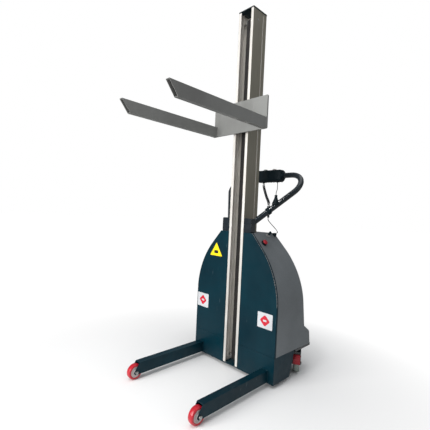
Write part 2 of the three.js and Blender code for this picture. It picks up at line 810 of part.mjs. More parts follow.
function buildCords() {
  const bore = HANDLE.radius + GAP;
  const ring = [
    [bore, -CLIP.length / 2],
    [HANDLE.radius + CLIP.wall, -CLIP.length / 2],
    [HANDLE.radius + CLIP.wall, CLIP.length / 2],
    [bore, CLIP.length / 2],
    [bore, -CLIP.length / 2],
  ];
  const clip = alongTube(CLIP.at);
  const lowerLug = rod("z", 6, [clip.z - CLIP.lowerLug, clip.z - HANDLE.radius], [clip.x, clip.y], 8);
  const upperLug = rod("z", 9, [clip.z + HANDLE.radius, clip.z + CLIP.upperLug], [clip.x, clip.y], 10);
  const clipBody = join(turned(ring, clip, RISE, 12), lowerLug, upperLug);
  add("cable_clip", cut(clipBody, tubeSpace(0, 2 * CLIP.at)), "blackPlastic");

  const horn = [
    [0, 0],
    [21, 0],
    [21, 8],
    [14, 24],
    [7, 44],
    [7, HORN.height],
    [0, HORN.height],
  ];
  const hornFoot = above(alongTube(HORN.at), HORN.rise);
  const hornBody = turned(horn, hornFoot, unit(0, 0, 1), 16);
  add("horn", cut(hornBody, tubeSpace(HORN.at / 2, 2 * HORN.at)), "blackPlastic");

  const clipTop = above(clip, CLIP.upperLug + GAP);
  const curlyPath = [
    HEAD_EXITS.curly,
    above(HEAD_EXITS.curly, -14),
    unit(52, 201, 1012),
    above(clipTop, 12),
    clipTop,
  ];
  add("curly_cord", sweep(curlyPath, CURLY_RADIUS, 20, 10), "rubber");

  const hornTop = above(hornFoot, HORN.height + GAP);
  const hornPath = [
    HEAD_EXITS.hornLead,
    above(HEAD_EXITS.hornLead, -9),
    unit(112, 228, 1052),
    above(hornTop, 10),
    hornTop,
  ];
  add("horn_lead", sweep(hornPath, LEAD_RADIUS, 24, 8), "rubber");

  const clipFoot = above(clip, -CLIP.lowerLug - GAP);
  const glandTop = slopePoint(GLAND).addScaledVector(SLOPE, GLAND.height + GAP);
  const leadPath = [clipFoot, above(clipFoot, -12), glandTop.clone().addScaledVector(SLOPE, 14), glandTop];
  add("control_lead", sweep(leadPath, LEAD_RADIUS, 18, 8), "rubber");
}

// ---- castors ---------------------------------------------------------------------------------------
// A braked swivel castor about its own swivel axis, with the wheel trailing towards -Y before it is turned.
function buildCastors() {
  for (const [name, sign] of Object.entries(SIDES)) {
    const castor = new THREE.Group();
    castor.position.set(sign * CASTOR.x, CASTOR.y, 0);
    root.add(castor);
    const half = CASTOR.plate / 2;
    const plateBottom = CASTOR.top - 5;
    const headBottom = plateBottom - 10;
    const plate = prism("z", rounded(rectangle([-half, half], [-half, half]), 8), [plateBottom, CASTOR.top]);
    const head = rod("z", 26, [headBottom, plateBottom + 1], [0, 0], 28);
    add(`castor_plate_${name}`, join(plate, head), "steel", castor);

    const swivel = new THREE.Group();
    swivel.rotation.z = sign * CASTOR.yaw;
    castor.add(swivel);
    buildSwivel(name, swivel, headBottom - GAP);
  }
}

function buildSwivel(name, swivel, crown) {
  const legInner = WHEEL.width / 2 + 3;
  const legOuter = legInner + 3;
  const axle = [-CASTOR.trail, WHEEL.radius];
  const pin = [-CASTOR.trail - 38, 103];
  const pinRadius = 4;
  const legOutline = [
    [24, crown - 4],
    [pin[0] - 8, crown - 6],
    [pin[0] - 10, pin[1] - 8],
    [pin[0] + 8, pin[1] - 12],
    [-CASTOR.trail - 13, WHEEL.radius + 10],
    [-CASTOR.trail - 10, WHEEL.radius - 10],
    [-CASTOR.trail + 10, WHEEL.radius - 10],
    [20, crown - 26],
  ];
  const across = [-legOuter - CLEAR, legOuter + CLEAR];
  const axleHole = rod("x", 5 + GAP, across, axle, 16);
  const pinHole = rod("x", pinRadius + GAP, across, pin, 12);
  const fork = cut(
    join(
      box([-legOuter, legOuter], [-32, 26], [crown - 5, crown]),
      prism("x", rounded(legOutline, 4), [legInner, legOuter]),
      prism("x", rounded(legOutline, 4), [-legOuter, -legInner]),
    ),
    axleHole,
    pinHole,
  );
  add(`castor_fork_${name}`, fork, "blackPaint", swivel);

  const half = WHEEL.width / 2;
  const wheel = [
    [5 + GAP, -half - 2],
    [12, -half - 2],
    [14, -half + 3],
    [WHEEL.radius - 14, -half + 3],
    [WHEEL.radius - 12, -half],
    [WHEEL.radius - 4, -half],
    [WHEEL.radius, -half + 7],
    [WHEEL.radius, half - 7],
    [WHEEL.radius - 4, half],
    [WHEEL.radius - 12, half],
    [WHEEL.radius - 14, half - 3],
    [14, half - 3],
    [12, half + 2],
    [5 + GAP, half + 2],
    [5 + GAP, -half - 2],
  ];
  const place = unit(0, ...axle);
  const along = unit(1, 0, 0);
  add(`castor_wheel_${name}`, turned(wheel, place, along, 24), "greyTread", swivel);
  const head = legOuter + GAP;
  const axlePin = [
    [0, -head - 5],
    [8, -head - 5],
    [8, -head],
    [5, -head],
    [5, head],
    [8, head],
    [8, head + 5],
    [0, head + 5],
  ];
  add(`castor_axle_${name}`, turned(axlePin, place, along, 12), "steel", swivel);

  // The pedal turns on its own trunnions between the fork legs, and its foot presses on the tread.
  const inside = legInner - GAP;
  const pedalOutline = [
    [pin[0] + 14, pin[1] + 9],
    [pin[0] - 12, pin[1] + 10],
    [pin[0] - 26, pin[1] - 12],
    [pin[0] - 24, pin[1] - 40],
    [pin[0] - 18, pin[1] - 40],
    [pin[0] - 14, pin[1] - 16],
    [pin[0] + 6, pin[1] - 2],
  ];
  const pedal = prism("x", rounded(pedalOutline, 3), [-inside, inside]);
  const trunnions = rod("x", pinRadius, [-legOuter - 1, legOuter + 1], pin, 12);
  add(`castor_pedal_${name}`, join(pedal, trunnions), "redPlastic", swivel);
}

// ---- energy ----------------------------------------------------------------------------------------
function buildEnergy() {
  const deck = DECK.top + GAP;
  const battery = { half: 155, from: 150, to: 300, height: 165, corner: 5 };
  const post = { x: 110, y: battery.from + 25, radius: 8, height: 14 };
  const top = deck + battery.height;
  const outline = rounded(rectangle([-battery.half, battery.half], [battery.from, battery.to]), battery.corner);
  const posts = Object.values(SIDES).map((sign) =>
    rod("z", post.radius, [top - 1, top + post.height], [sign * post.x, post.y], 12),
  );
  add("battery", join(prism("z", outline, [deck, top]), ...posts), "batteryCase");

  const controller = { x: [-230, -80], z: [210, 390], front: COVER.front + 6, depth: 54, corner: 8 };
  const face = rounded(rectangle(controller.x, controller.z), controller.corner);
  const span = [controller.front, controller.front + controller.depth];
  add("lift_controller", prism("y", face, span), "blackPlastic");
}

// ---- assembly --------------------------------------------------------------------------------------
buildMast();
buildLiftDrive();
buildCarriage();
buildForks();
buildChassis();
buildLegs();
buildFrontPanels();
buildCover();
buildStopAndKey();
buildHandle();
buildControlHead();
buildCords();
buildCastors();
buildEnergy();

// The frame's origin is on the floor, in the middle of the object's box.
root.updateMatrixWorld(true);
const bounds = new THREE.Box3().setFromObject(root, true);
root.position.y = -(bounds.min.y + bounds.max.y) / 2;

export default root;
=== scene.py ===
"""The looks of the walkie stacker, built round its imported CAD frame.

Metres, in the frame's axes: +Z up, -Y towards the fork tips, left = +X. Every place is worked out from the
boxes of the CAD nodes and the few driving dimensions below, which repeat those of the CAD source.
"""
import json
import math
from types import SimpleNamespace

import bmesh
import bpy
from mathutils import Matrix, Vector

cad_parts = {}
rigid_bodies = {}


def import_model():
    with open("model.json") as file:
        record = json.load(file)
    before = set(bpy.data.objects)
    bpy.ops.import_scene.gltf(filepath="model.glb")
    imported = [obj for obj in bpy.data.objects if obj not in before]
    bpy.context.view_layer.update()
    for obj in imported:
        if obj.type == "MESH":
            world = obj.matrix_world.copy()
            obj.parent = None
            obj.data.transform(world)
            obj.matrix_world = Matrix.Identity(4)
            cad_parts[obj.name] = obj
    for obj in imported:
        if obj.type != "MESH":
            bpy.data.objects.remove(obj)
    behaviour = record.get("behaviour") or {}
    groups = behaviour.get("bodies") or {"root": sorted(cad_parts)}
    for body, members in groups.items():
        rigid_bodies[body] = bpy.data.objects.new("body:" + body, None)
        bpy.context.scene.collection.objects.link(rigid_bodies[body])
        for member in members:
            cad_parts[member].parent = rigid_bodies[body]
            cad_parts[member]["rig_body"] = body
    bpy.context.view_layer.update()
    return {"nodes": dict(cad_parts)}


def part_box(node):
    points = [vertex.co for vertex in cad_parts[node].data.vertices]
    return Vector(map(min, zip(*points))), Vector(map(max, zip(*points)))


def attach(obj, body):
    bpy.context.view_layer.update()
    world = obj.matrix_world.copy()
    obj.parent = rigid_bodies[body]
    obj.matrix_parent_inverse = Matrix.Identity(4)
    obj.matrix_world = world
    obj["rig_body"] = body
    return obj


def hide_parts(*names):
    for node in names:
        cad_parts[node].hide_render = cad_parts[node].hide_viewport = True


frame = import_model()
scene = bpy.context.scene
nodes = frame["nodes"]

SIDES = {"left": 1, "right": -1}
UP = Vector((0, 0, 1))
GAP = 0.0003  # the clearance between pieces that fit together


def box(node):
    """The corners and the middle of a CAD node, by name."""
    low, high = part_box(node)
    middle = (low + high) / 2
    return SimpleNamespace(
        x0=low.x, y0=low.y, z0=low.z, x1=high.x, y1=high.y, z1=high.z, x=middle.x, y=middle.y, z=middle.z
    )


mast = box("mast_profile")
front = mast.y0
panel = box("front_panel_left")
cover = box("rear_cover")


def from_front(x, y, z):
    """A point whose y is counted back from the mast's front face."""
    return Vector((x, front + y, z))


# The driving dimensions of the body. The arch is upright up to side_top, then an arc of that radius as far
# as the end angle, then straight. The cover reaches foot_rear behind the mast's front face at foot_level, and
# leans in by that share of its height. Its skirt flares out below top, in full from step down.
ARCH = {"side_top": 0.4055, "radius": 0.464, "end": math.radians(41)}
COVER = {"foot_rear": 0.341, "foot_level": 0.256, "lean": 0.17, "round": 0.07, "wall": 0.004}
SKIRT = {"step": 0.222, "top": 0.26, "rear": 0.045, "side": 0.008}
SLOPE = Vector((math.cos(ARCH["end"]), 0, math.sin(ARCH["end"])))

# The handle: its left tube rises from the foot in its clamp to the corner where it would meet the crossbar.
TUBE_RADIUS = 0.016
FOOT = from_front(0.081, 0.0373, 0.839)
CORNER = from_front(0.335, 0.302, 1.142)
RISE = (CORNER - FOOT).normalized()
BEND = 0.097
HEAD = {"half_length": 0.1, "half_depth": 0.03, "half_height": 0.036}
HEAD_FOOT = CORNER.z - HEAD["half_height"]

# The pieces that hold the cords, and how thick the cords are.
CLIP = {"at": FOOT + RISE * 0.12, "half_length": 0.01, "wall": 0.005, "lower_lug": 0.036, "upper_lug": 0.029}
HORN = {"foot": FOOT + RISE * 0.17 + UP * 0.006, "height": 0.056}
GLAND = {"at": (0.128, 0.195), "shank": 0.008, "height": 0.015}
CORD = {"lead": 0.004, "coil": 0.016, "wire": 0.003, "pitch": 0.009}

# Wheels: the pins that they turn on, and how far the left castor is turned about +Z.
PIN_RADIUS = 0.005
BORE = PIN_RADIUS + GAP
CASTOR_YAW = math.radians(29.5)


# ---- camera --------------------------------------------------------
def make_camera():
    """The camera at the photograph's viewpoint, nearly level and turned a little about its own axis."""
    place, lens, sensor_width = (1.23582, -1.28733, 0.89246), 27.32, 36
    yaw, pitch, roll = (math.radians(degrees) for degrees in (44.94, -0.39, 2.7))
    data = bpy.data.cameras.new("camera")
    data.sensor_fit = "HORIZONTAL"
    data.sensor_width = sensor_width
    data.lens = lens
    data.clip_start = 0.05
    camera = bpy.data.objects.new("camera", data)
    scene.collection.objects.link(camera)
    level = Matrix.Rotation(math.pi / 2 + pitch, 4, "X")
    turn = Matrix.Rotation(yaw, 4, "Z") @ level
    camera.matrix_world = Matrix.Translation(place) @ turn @ Matrix.Rotation(roll, 4, "Z")
    scene.camera = camera


make_camera()


# ---- materials -----------------------------------------------------
def linear(red, green, blue):
    """A colour given as 0 to 255 screen values."""

    def channel(value):
        share = value / 255
        return share / 12.92 if share <= 0.04045 else ((share + 0.055) / 1.055) ** 2.4

    return (channel(red), channel(green), channel(blue), 1)


class Finish:
    """A Principled material whose detail is procedural, in object space, which is the frame's."""

    def __init__(self, name, **settings):
        self.material = bpy.data.materials.new(name)
        self.material.use_nodes = True
        self.nodes = self.material.node_tree.nodes
        self.links = self.material.node_tree.links
        self.shader = self.nodes["Principled BSDF"]
        self.place = self.nodes.new("ShaderNodeTexCoord").outputs["Object"]
        for socket, value in settings.items():
            self.shader.inputs[socket.replace("_", " ").title().replace("Ior", "IOR")].default_value = value

    def link(self, output, socket):
        self.links.new(output, socket)

    def compute(self, operation, *values):
        """A maths node of that operation on the outputs of other nodes."""
        node = self.nodes.new("ShaderNodeMath")
        node.operation = operation
        for socket, value in zip(node.inputs, values):
            self.link(value, socket)
        return node.outputs["Value"]

    def scaled(self, stretch):
        mapping = self.nodes.new("ShaderNodeMapping")
        mapping.inputs["Scale"].default_value = stretch
        self.link(self.place, mapping.inputs["Vector"])
        return mapping.outputs["Vector"]

    def noise(self, scale, detail=3.0, stretch=(1, 1, 1)):
        node = self.nodes.new("ShaderNodeTexNoise")
        node.inputs["Scale"].default_value = scale
        node.inputs["Detail"].default_value = detail
        self.link(self.scaled(stretch), node.inputs["Vector"])
        return node.outputs["Fac"]

    def cells(self, scale):
        node = self.nodes.new("ShaderNodeTexVoronoi")
        node.inputs["Scale"].default_value = scale
        self.link(self.place, node.inputs["Vector"])
        return node.outputs["Distance"]

    def bands(self, scale, direction):
        node = self.nodes.new("ShaderNodeTexWave")
        node.bands_direction = direction
        node.inputs["Scale"].default_value = scale
        self.link(self.place, node.inputs["Vector"])
        return node.outputs["Fac"]

    def along(self, axis):
        node = self.nodes.new("ShaderNodeSeparateXYZ")
        self.link(self.place, node.inputs["Vector"])
        return node.outputs[axis]

    def between(self, value, low, high, start=0.0, end=1.0):
        """A value mapped from low..high to start..end, and held there."""
        node = self.nodes.new("ShaderNodeMapRange")
        for socket, number in zip(("From Min", "From Max", "To Min", "To Max"), (low, high, start, end)):
            node.inputs[socket].default_value = number
        self.link(value, node.inputs["Value"])
        return node.outputs["Result"]

    def mixed(self, factor, a, b):
        """Colour a where factor is 0 and b where it is 1; either may be a colour or another node's output."""
        node = self.nodes.new("ShaderNodeMix")
        node.data_type = "RGBA"
        self.link(factor, node.inputs["Factor"])
        for socket, colour in zip((node.inputs[6], node.inputs[7]), (a, b)):
            if isinstance(colour, tuple):
                socket.default_value = colour
            else:
                self.link(colour, socket)
        return node.outputs[2]

    def colour(self, output):
        self.link(output, self.shader.inputs["Base Color"])

    def rough(self, value, low, high, start, end):
        self.link(self.between(value, low, high, start, end), self.shader.inputs["Roughness"])

    def bump(self, value, distance, strength=1.0):
        """Relief of that depth; a second one sits on the first."""
        node = self.nodes.new("ShaderNodeBump")
        node.inputs["Distance"].default_value = distance
        node.inputs["Strength"].default_value = strength
        self.link(value, node.inputs["Height"])
        socket = self.shader.inputs["Normal"]
        if socket.is_linked:
            self.link(socket.links[0].from_socket, node.inputs["Normal"])
        self.link(node.outputs["Normal"], socket)


def painted(name, colour, shade, wear, rough=0.3, coat=0.3, gloss=0.12, specular=0.25):
    """Sprayed paint: uneven colour, faint orange peel, fine upright scratches, and dust low down."""
    made = Finish(name, specular_ior_level=specular, coat_weight=coat, coat_roughness=gloss)
    patches = made.between(made.noise(3.2, 5), 0.35, 0.65)
    streaks = made.between(made.noise(14, 4, (1, 1, 0.18)), 0.42, 0.72, 0, 0.35)
    base = made.mixed(streaks, made.mixed(patches, colour, shade), shade)
    scratched = made.between(made.noise(150, 6, (1, 1, 0.12)), 0.66, 0.74, 0, 0.5)
    worn_areas = made.between(made.noise(6, 4), 0.5, 0.65)
    base = made.mixed(made.compute("MULTIPLY", scratched, worn_areas), base, wear)
    low = made.between(made.along("Z"), 0.0, 0.14, 0.04, 0.0)
    dust = made.compute("MULTIPLY", low, made.between(made.noise(26, 5), 0.4, 0.7))
    made.colour(made.mixed(dust, base, linear(126, 120, 110)))
    made.rough(made.noise(34, 5), 0.3, 0.7, rough - 0.05, rough + 0.12)
    made.bump(made.noise(420, 2), 0.00006, 0.3)
    made.bump(made.noise(11, 3), 0.0015, 0.1)
    return made.material


def shade_of(colour, share, more=0.0):
    """A colour scaled by a share, with a little more added to each channel."""
    return (*(min(1, share * channel + more) for channel in colour[:3]), 1)


def moulded(name, colour, shade, grain=1400, depth=0.00015, rough=0.55, specular=0.4):
    """Moulded plastic with a fine spark-eroded grain and slightly uneven colour."""
    made = Finish(name, specular_ior_level=specular)
    base = made.mixed(made.between(made.noise(7, 5), 0.35, 0.7), colour, shade)
    scuffs = made.between(made.noise(60, 6, (1, 1, 3)), 0.62, 0.72, 0, 0.25)
    made.colour(made.mixed(scuffs, base, shade_of(colour, 1.6, 0.02)))
    made.rough(made.noise(45, 4), 0.3, 0.7, rough - 0.08, rough + 0.1)
    made.bump(made.noise(grain, 2), depth, 0.5)
    return made.material


def hammered(name, colour, shade):
    """Powder-coated sheet with the coarse leathery texture of the rear cover."""
    made = Finish(name, specular_ior_level=0.35)
    patches = made.between(made.noise(4, 5), 0.35, 0.7)
    specks = made.between(made.noise(420, 3), 0.35, 0.7)
    made.colour(made.mixed(made.between(specks, 0, 1, 0, 0.45), made.mixed(patches, colour, shade), shade))
    made.rough(made.noise(120, 4), 0.3, 0.7, 0.42, 0.62)
    made.bump(made.cells(260), 0.0005, 0.45)
    made.bump(made.noise(700, 3), 0.0002, 0.4)
    return made.material


def metal(
    name, colour, shade, rough=0.3, stretch=(60, 60, 1), scale=8, depth=0.00008, metallic=1.0, side_shade=None
):
    """Metal with drawn or turned lines; stretch is how fast the lines change along each axis.

    The side shade is a painted shade: a duller, darker colour put on the outer sides of an extrusion, given
    with the half-width that they lie at.
    """
    made = Finish(name, metallic=metallic)
    lines = made.noise(scale, 4, stretch)
    streaks = made.between(lines, 0.35, 0.65)
    stains = made.between(made.noise(9, 5), 0.45, 0.75, 0, 0.6)
    base = made.mixed(stains, made.mixed(streaks, colour, shade), shade)
    if side_shade:
        shade_tint, half = side_shade
        # Painted shade: the outer side faces of the extrusion are darkened towards the shade tint.
        outside = made.between(made.compute("ABSOLUTE", made.along("X")), half - 0.0008, half - 0.0002)
        base = made.mixed(outside, base, made.mixed(streaks, shade_tint, shade_of(shade_tint, 0.8)))
    made.colour(base)
    made.rough(made.noise(scale * 1.7, 5, stretch), 0.3, 0.7, rough - 0.08, rough + 0.14)
    made.bump(lines, depth, 0.5)
    return made.material


def rubber(name, colour, shade, rough=0.6, coat=0.0):
    """Rubber or cast polyurethane, dusty in patches."""
    made = Finish(name, specular_ior_level=0.4, coat_weight=coat, coat_roughness=0.25)
    dust = made.between(made.noise(38, 5), 0.45, 0.75, 0, 0.7)
    made.colour(made.mixed(dust, made.mixed(made.noise(12, 3), colour, shade), shade))
    made.rough(made.noise(70, 4), 0.3, 0.7, rough - 0.1, rough + 0.12)
    made.bump(made.noise(500, 3), 0.00015, 0.4)
    return made.material


def belt_material(name, colour, shade):
    """Rubber with the small cross teeth of a timing belt, its colour darker in the grooves between the teeth
    as a painted shade.
    """
    made = Finish(name, specular_ior_level=0.3)
    teeth = made.bands(100, "Z")
    # Painted shade: the colour is darker where the teeth's relief is low, in the grooves.
    made.colour(made.mixed(made.between(teeth, 0.2, 0.8), shade, colour))
    made.rough(made.noise(80, 3), 0.3, 0.7, 0.6, 0.8)
    made.bump(teeth, 0.0012, 0.8)
    return made.material


PALE_WEAR = linear(98, 108, 112)
MATERIALS = {
    "blue_paint": painted(
        "blue_paint", linear(1, 42, 53), linear(0, 31, 42), PALE_WEAR, 0.34, 0.04, specular=0.12
    ),
    "black_paint": painted("black_paint", linear(6, 22, 31), linear(3, 15, 21), PALE_WEAR, 0.26, 0.6, 0.06),
    "grey_paint": painted(
        "grey_paint", linear(124, 125, 123), linear(106, 106, 104), linear(176, 174, 170), 0.4, 0.15
    ),
    "grey_cover": hammered("grey_cover", linear(112, 117, 120), linear(94, 99, 102)),
    # The mast's darker outer sides are a painted shade.
    "aluminium_profile": metal(
        "aluminium_profile", linear(236, 235, 232), linear(206, 201, 193), 0.38, metallic=0.5,
        side_shade=(linear(136, 132, 119), mast.x1),
    ),
    "machined_aluminium": metal(
        "machined_aluminium", linear(200, 200, 198), linear(160, 160, 160), 0.32, (1, 40, 40)
    ),
    "bright_steel": metal("bright_steel", linear(190, 190, 188), linear(140, 140, 138), 0.26, (3, 3, 3), 40),
    "black_plastic": moulded("black_plastic", linear(3, 22, 29), linear(2, 15, 20), specular=0.15),
    "red_plastic": moulded("red_plastic", linear(150, 14, 30), linear(118, 10, 24), rough=0.42),
    "light_plastic": moulded("light_plastic", linear(196, 186, 184), linear(168, 160, 158), rough=0.45),
    "red_tread": rubber("red_tread", linear(190, 8, 34), linear(152, 6, 28), 0.36, 0.4),
    "grey_tread": rubber("grey_tread", linear(128, 136, 130), linear(100, 108, 104), 0.55),
    "belt_rubber": belt_material("belt_rubber", linear(34, 32, 31), linear(22, 21, 21)),
    "cord_rubber": rubber("cord_rubber", linear(20, 25, 30), linear(13, 17, 21), 0.42, 0.15),
    "battery_case": moulded("battery_case", linear(44, 46, 48), linear(32, 34, 36)),
}
LABEL_COLOURS = {
    name: moulded(name, colour, shade, grain=900, depth=0.00003, rough=0.35)
    for name, colour, shade in (
        ("label_white", linear(196, 198, 201), linear(182, 184, 188)),
        ("label_yellow", linear(240, 218, 20), linear(226, 200, 14)),
        ("label_red", linear(200, 30, 52), linear(176, 24, 44)),
        ("label_black", linear(24, 24, 26), linear(18, 18, 20)),
    )
}


# ---- mesh tools ----------------------------------------------------
SMOOTH_TO = 32  # degrees: a sharper bend than this between faces is shaded as an edge


def rounded(points, radius, steps=3, closed=True):
    """The outline with each corner turned into a short curve."""
    points = [Vector(p) for p in points]
    made = []
    count = len(points)
    for i, corner in enumerate(points):
        if not closed and i in (0, count - 1):
            made.append(corner)
            continue
        before, after = points[i - 1] - corner, points[(i + 1) % count] - corner
        reach = min(radius, 0.45 * before.length, 0.45 * after.length)
        into, out = corner + before.normalized() * reach, corner + after.normalized() * reach
        for step in range(steps + 1):
            share = step / steps
            made.append((1 - share) ** 2 * into + 2 * share * (1 - share) * corner + share**2 * out)
    return made


def rectangle(a0, a1, b0, b1):
    return [(a0, b0), (a1, b0), (a1, b1), (a0, b1)]


def centred(a, b, half_a, half_b):
    return rectangle(a - half_a, a + half_a, b - half_b, b + half_b)


def prism(outline, axis, low, high):
    """An outline drawn out along an axis: (x, z) points along "y", or (x, y) points along "z"."""
    bm = bmesh.new()
    ends = [[bm.verts.new((a, c, b) if axis == "y" else (a, b, c)) for a, b in outline] for c in (low, high)]
    for ring in ends:
        bm.faces.new(ring)
    join_rings(bm, *ends)
    bmesh.ops.recalc_face_normals(bm, faces=bm.faces)
    return bm


def join_rings(bm, a, b, closed=True):
    """Faces between two rings of points; where a corner is shared, the face has one corner less."""
    count = len(a)
    for i in range(count if closed else count - 1):
        j = (i + 1) % count
        corners = list(dict.fromkeys((a[i], a[j], b[j], b[i])))
        if len(corners) > 2:
            bm.faces.new(corners)


def lathe(profile, place, direction, steps=48):
    """A turned solid: (radius, height) pairs about an axis; a closed profile makes a ring."""
    direction = Vector(direction).normalized()
    turn = UP.rotation_difference(direction).to_matrix()
    place = Vector(place)
    bm = bmesh.new()
    rings = []
    for radius, height in profile:
        if radius < 1e-6:
            rings.append([bm.verts.new(place + direction * height)] * steps)
            continue
        ring = []
        for step in range(steps):
            angle = 2 * math.pi * step / steps
            local = Vector((radius * math.cos(angle), radius * math.sin(angle), height))
            ring.append(bm.verts.new(place + turn @ local))
        rings.append(ring)
    pairs = list(zip(rings, rings[1:]))
    if profile[0][0] > 1e-6:
        pairs.append((rings[-1], rings[0]))
    for a, b in pairs:
        join_rings(bm, a, b)
    bmesh.ops.recalc_face_normals(bm, faces=bm.faces)
    return bm


def loft(loops):
    """Loops of the same number of points joined in order into a skin, with both ends closed."""
    bm = bmesh.new()
    rings = [[bm.verts.new(p) for p in loop] for loop in loops]
    for a, b in zip(rings, rings[1:]):
        join_rings(bm, a, b)
    bm.faces.new(rings[0])
    bm.faces.new(rings[-1])
    bmesh.ops.recalc_face_normals(bm, faces=bm.faces)
    return bm


def tube(path, radius, steps=32):
    """A round bar along a list of points, with flat ends."""
    loops = []
    normal = None
    for i, point in enumerate(path):
        ahead = path[min(i + 1, len(path) - 1)] - path[max(i - 1, 0)]
        along = ahead.normalized()
        if normal is None:
            normal = along.orthogonal().normalized()
        normal = (normal - along * normal.dot(along)).normalized()
        other = along.cross(normal)
        angles = [2 * math.pi * k / steps for k in range(steps)]
        loops.append([point + radius * (math.cos(a) * normal + math.sin(a) * other) for a in angles])
    return loft(loops)


def to_object(name, bm):
    mesh = bpy.data.meshes.new(name)
    bm.to_mesh(mesh)
    bm.free()
    made = bpy.data.objects.new(name, mesh)
    scene.collection.objects.link(made)
    return made


def bevel(piece, width):
    """Rounds every edge sharper than 35 degrees, in two steps."""
    mod = piece.modifiers.new("rounded_edges", "BEVEL")
    mod.width = width
    mod.segments = 2
    mod.limit_method = "ANGLE"
    mod.angle_limit = math.radians(35)
    mod.harden_normals = True


def apply(piece):
    """Replaces a new piece's mesh with what its modifiers make of it."""
    bpy.context.view_layer.update()
    made = bpy.data.meshes.new_from_object(piece.evaluated_get(bpy.context.evaluated_depsgraph_get()))
    piece.modifiers.clear()
    piece.data = made


def combine(piece, bm, operation="UNION"):
    """Joins another mesh to a new piece, or cuts it out with "DIFFERENCE"."""
    other = to_object("other", bm)
    mod = piece.modifiers.new("combine", "BOOLEAN")
    mod.operation = operation
    mod.solver = "EXACT"
    mod.object = other
    apply(piece)
    bpy.data.objects.remove(other)


def finish_piece(piece, body, slot, replaces=(), edge=0.0, smooth=SMOOTH_TO, material=None):
    """Gives a new mesh its material, shading and rounded edges, and its place in the frame."""
    mesh = piece.data
    mesh.materials.clear()
    mesh.materials.append(material or MATERIALS[slot])
    mesh.polygons.foreach_set("use_smooth", [True] * len(mesh.polygons))
    mesh.set_sharp_from_angle(angle=math.radians(smooth))
    if edge:
        bevel(piece, edge)
    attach(piece, body)
    if replaces:
        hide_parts(*replaces)


def stand_in(node, bm, slot, edge=0.0):
    """A detailed piece in place of one CAD node, on that node's body."""
    finish_piece(to_object(f"{node}_piece", bm), nodes[node]["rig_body"], slot, [node], edge)


# ---- carried-over CAD nodes ----------------------------------------
def welding_nodes():
    """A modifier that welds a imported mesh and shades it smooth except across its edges."""
    group = bpy.data.node_groups.new("weld_and_smooth", "GeometryNodeTree")
    for direction in ("INPUT", "OUTPUT"):
        group.interface.new_socket("Geometry", in_out=direction, socket_type="NodeSocketGeometry")
    source = group.nodes.new("NodeGroupInput")
    weld = group.nodes.new("GeometryNodeMergeByDistance")
    weld.inputs["Distance"].default_value = 1e-5
    plain = group.nodes.new("GeometryNodeRemoveAttribute")
    plain.inputs["Name"].default_value = "custom_normal"
    smooth = group.nodes.new("GeometryNodeSetShadeSmooth")
    angle = group.nodes.new("GeometryNodeInputMeshEdgeAngle")
    steep = group.nodes.new("FunctionNodeCompare")
    steep.operation = "GREATER_THAN"
    steep.inputs["B"].default_value = math.radians(SMOOTH_TO)
    sharp = group.nodes.new("GeometryNodeSetShadeSmooth")
    sharp.domain = "EDGE"
    sharp.inputs["Shade Smooth"].default_value = False
    result = group.nodes.new("NodeGroupOutput")
    links = group.links
    links.new(source.outputs[0], weld.inputs["Geometry"])
    links.new(weld.outputs["Geometry"], plain.inputs["Geometry"])
    links.new(plain.outputs["Geometry"], smooth.inputs["Geometry"])
    links.new(smooth.outputs["Geometry"], sharp.inputs["Geometry"])
    links.new(angle.outputs["Unsigned Angle"], steep.inputs["A"])
    links.new(steep.outputs["Result"], sharp.inputs["Selection"])
    links.new(sharp.outputs["Geometry"], result.inputs[0])
    return group


WELDING = welding_nodes()


def keep(node, slot, edge=0.0):
    """A CAD node that is shown as it is, with its material and, where it helps, rounded edges."""
    piece = nodes[node]
    piece.data.materials.clear()
    piece.data.materials.append(MATERIALS[slot])
    mod = piece.modifiers.new("weld_and_smooth", "NODES")
    mod.node_group = WELDING
    if edge:
        bevel(piece, edge)


def both(name):
    return [f"{name}_{side}" for side in SIDES]


def dress_cad_nodes():
    """The CAD nodes whose shape is right, by material and by how far their edges are rounded."""
    kept = {
        ("aluminium_profile", 0.0006): ["mast_profile"],
        ("machined_aluminium", 0.0008): ["carriage_slider", "drive_pulley", "idler_pulley"],
        ("bright_steel", 0.0004): [
            "belt_clamp", "drive_shaft", "idler_axle", "guide_axle_lower", "guide_axle_upper",
            *both("guide_roller_lower"), *both("guide_roller_upper"),
        ],
        ("belt_rubber", 0): ["lift_belt"],
        ("grey_paint", 0.0018): ["carriage_plate"],
        ("grey_paint", 0.0007): both("fork"),
        ("blue_paint", 0.0015): ["chassis_frame"],
        ("blue_paint", 0.0008): [*both("leg"), *both("front_panel")],
        ("black_paint", 0.0016): ["deck_plate", "gear_motor", *both("handle_clamp"), *both("castor_plate")],
        ("black_paint", 0.0008): both("castor_fork"),
        ("red_plastic", 0.0015): both("castor_pedal"),
        ("black_plastic", 0.0006): ["key", "mast_cap"],
        ("battery_case", 0.002): ["battery"],
        ("black_plastic", 0.002): ["lift_controller"],
    }
    for (slot, edge), names in kept.items():
        for name in names:
            keep(name, slot, edge)


dress_cad_nodes()


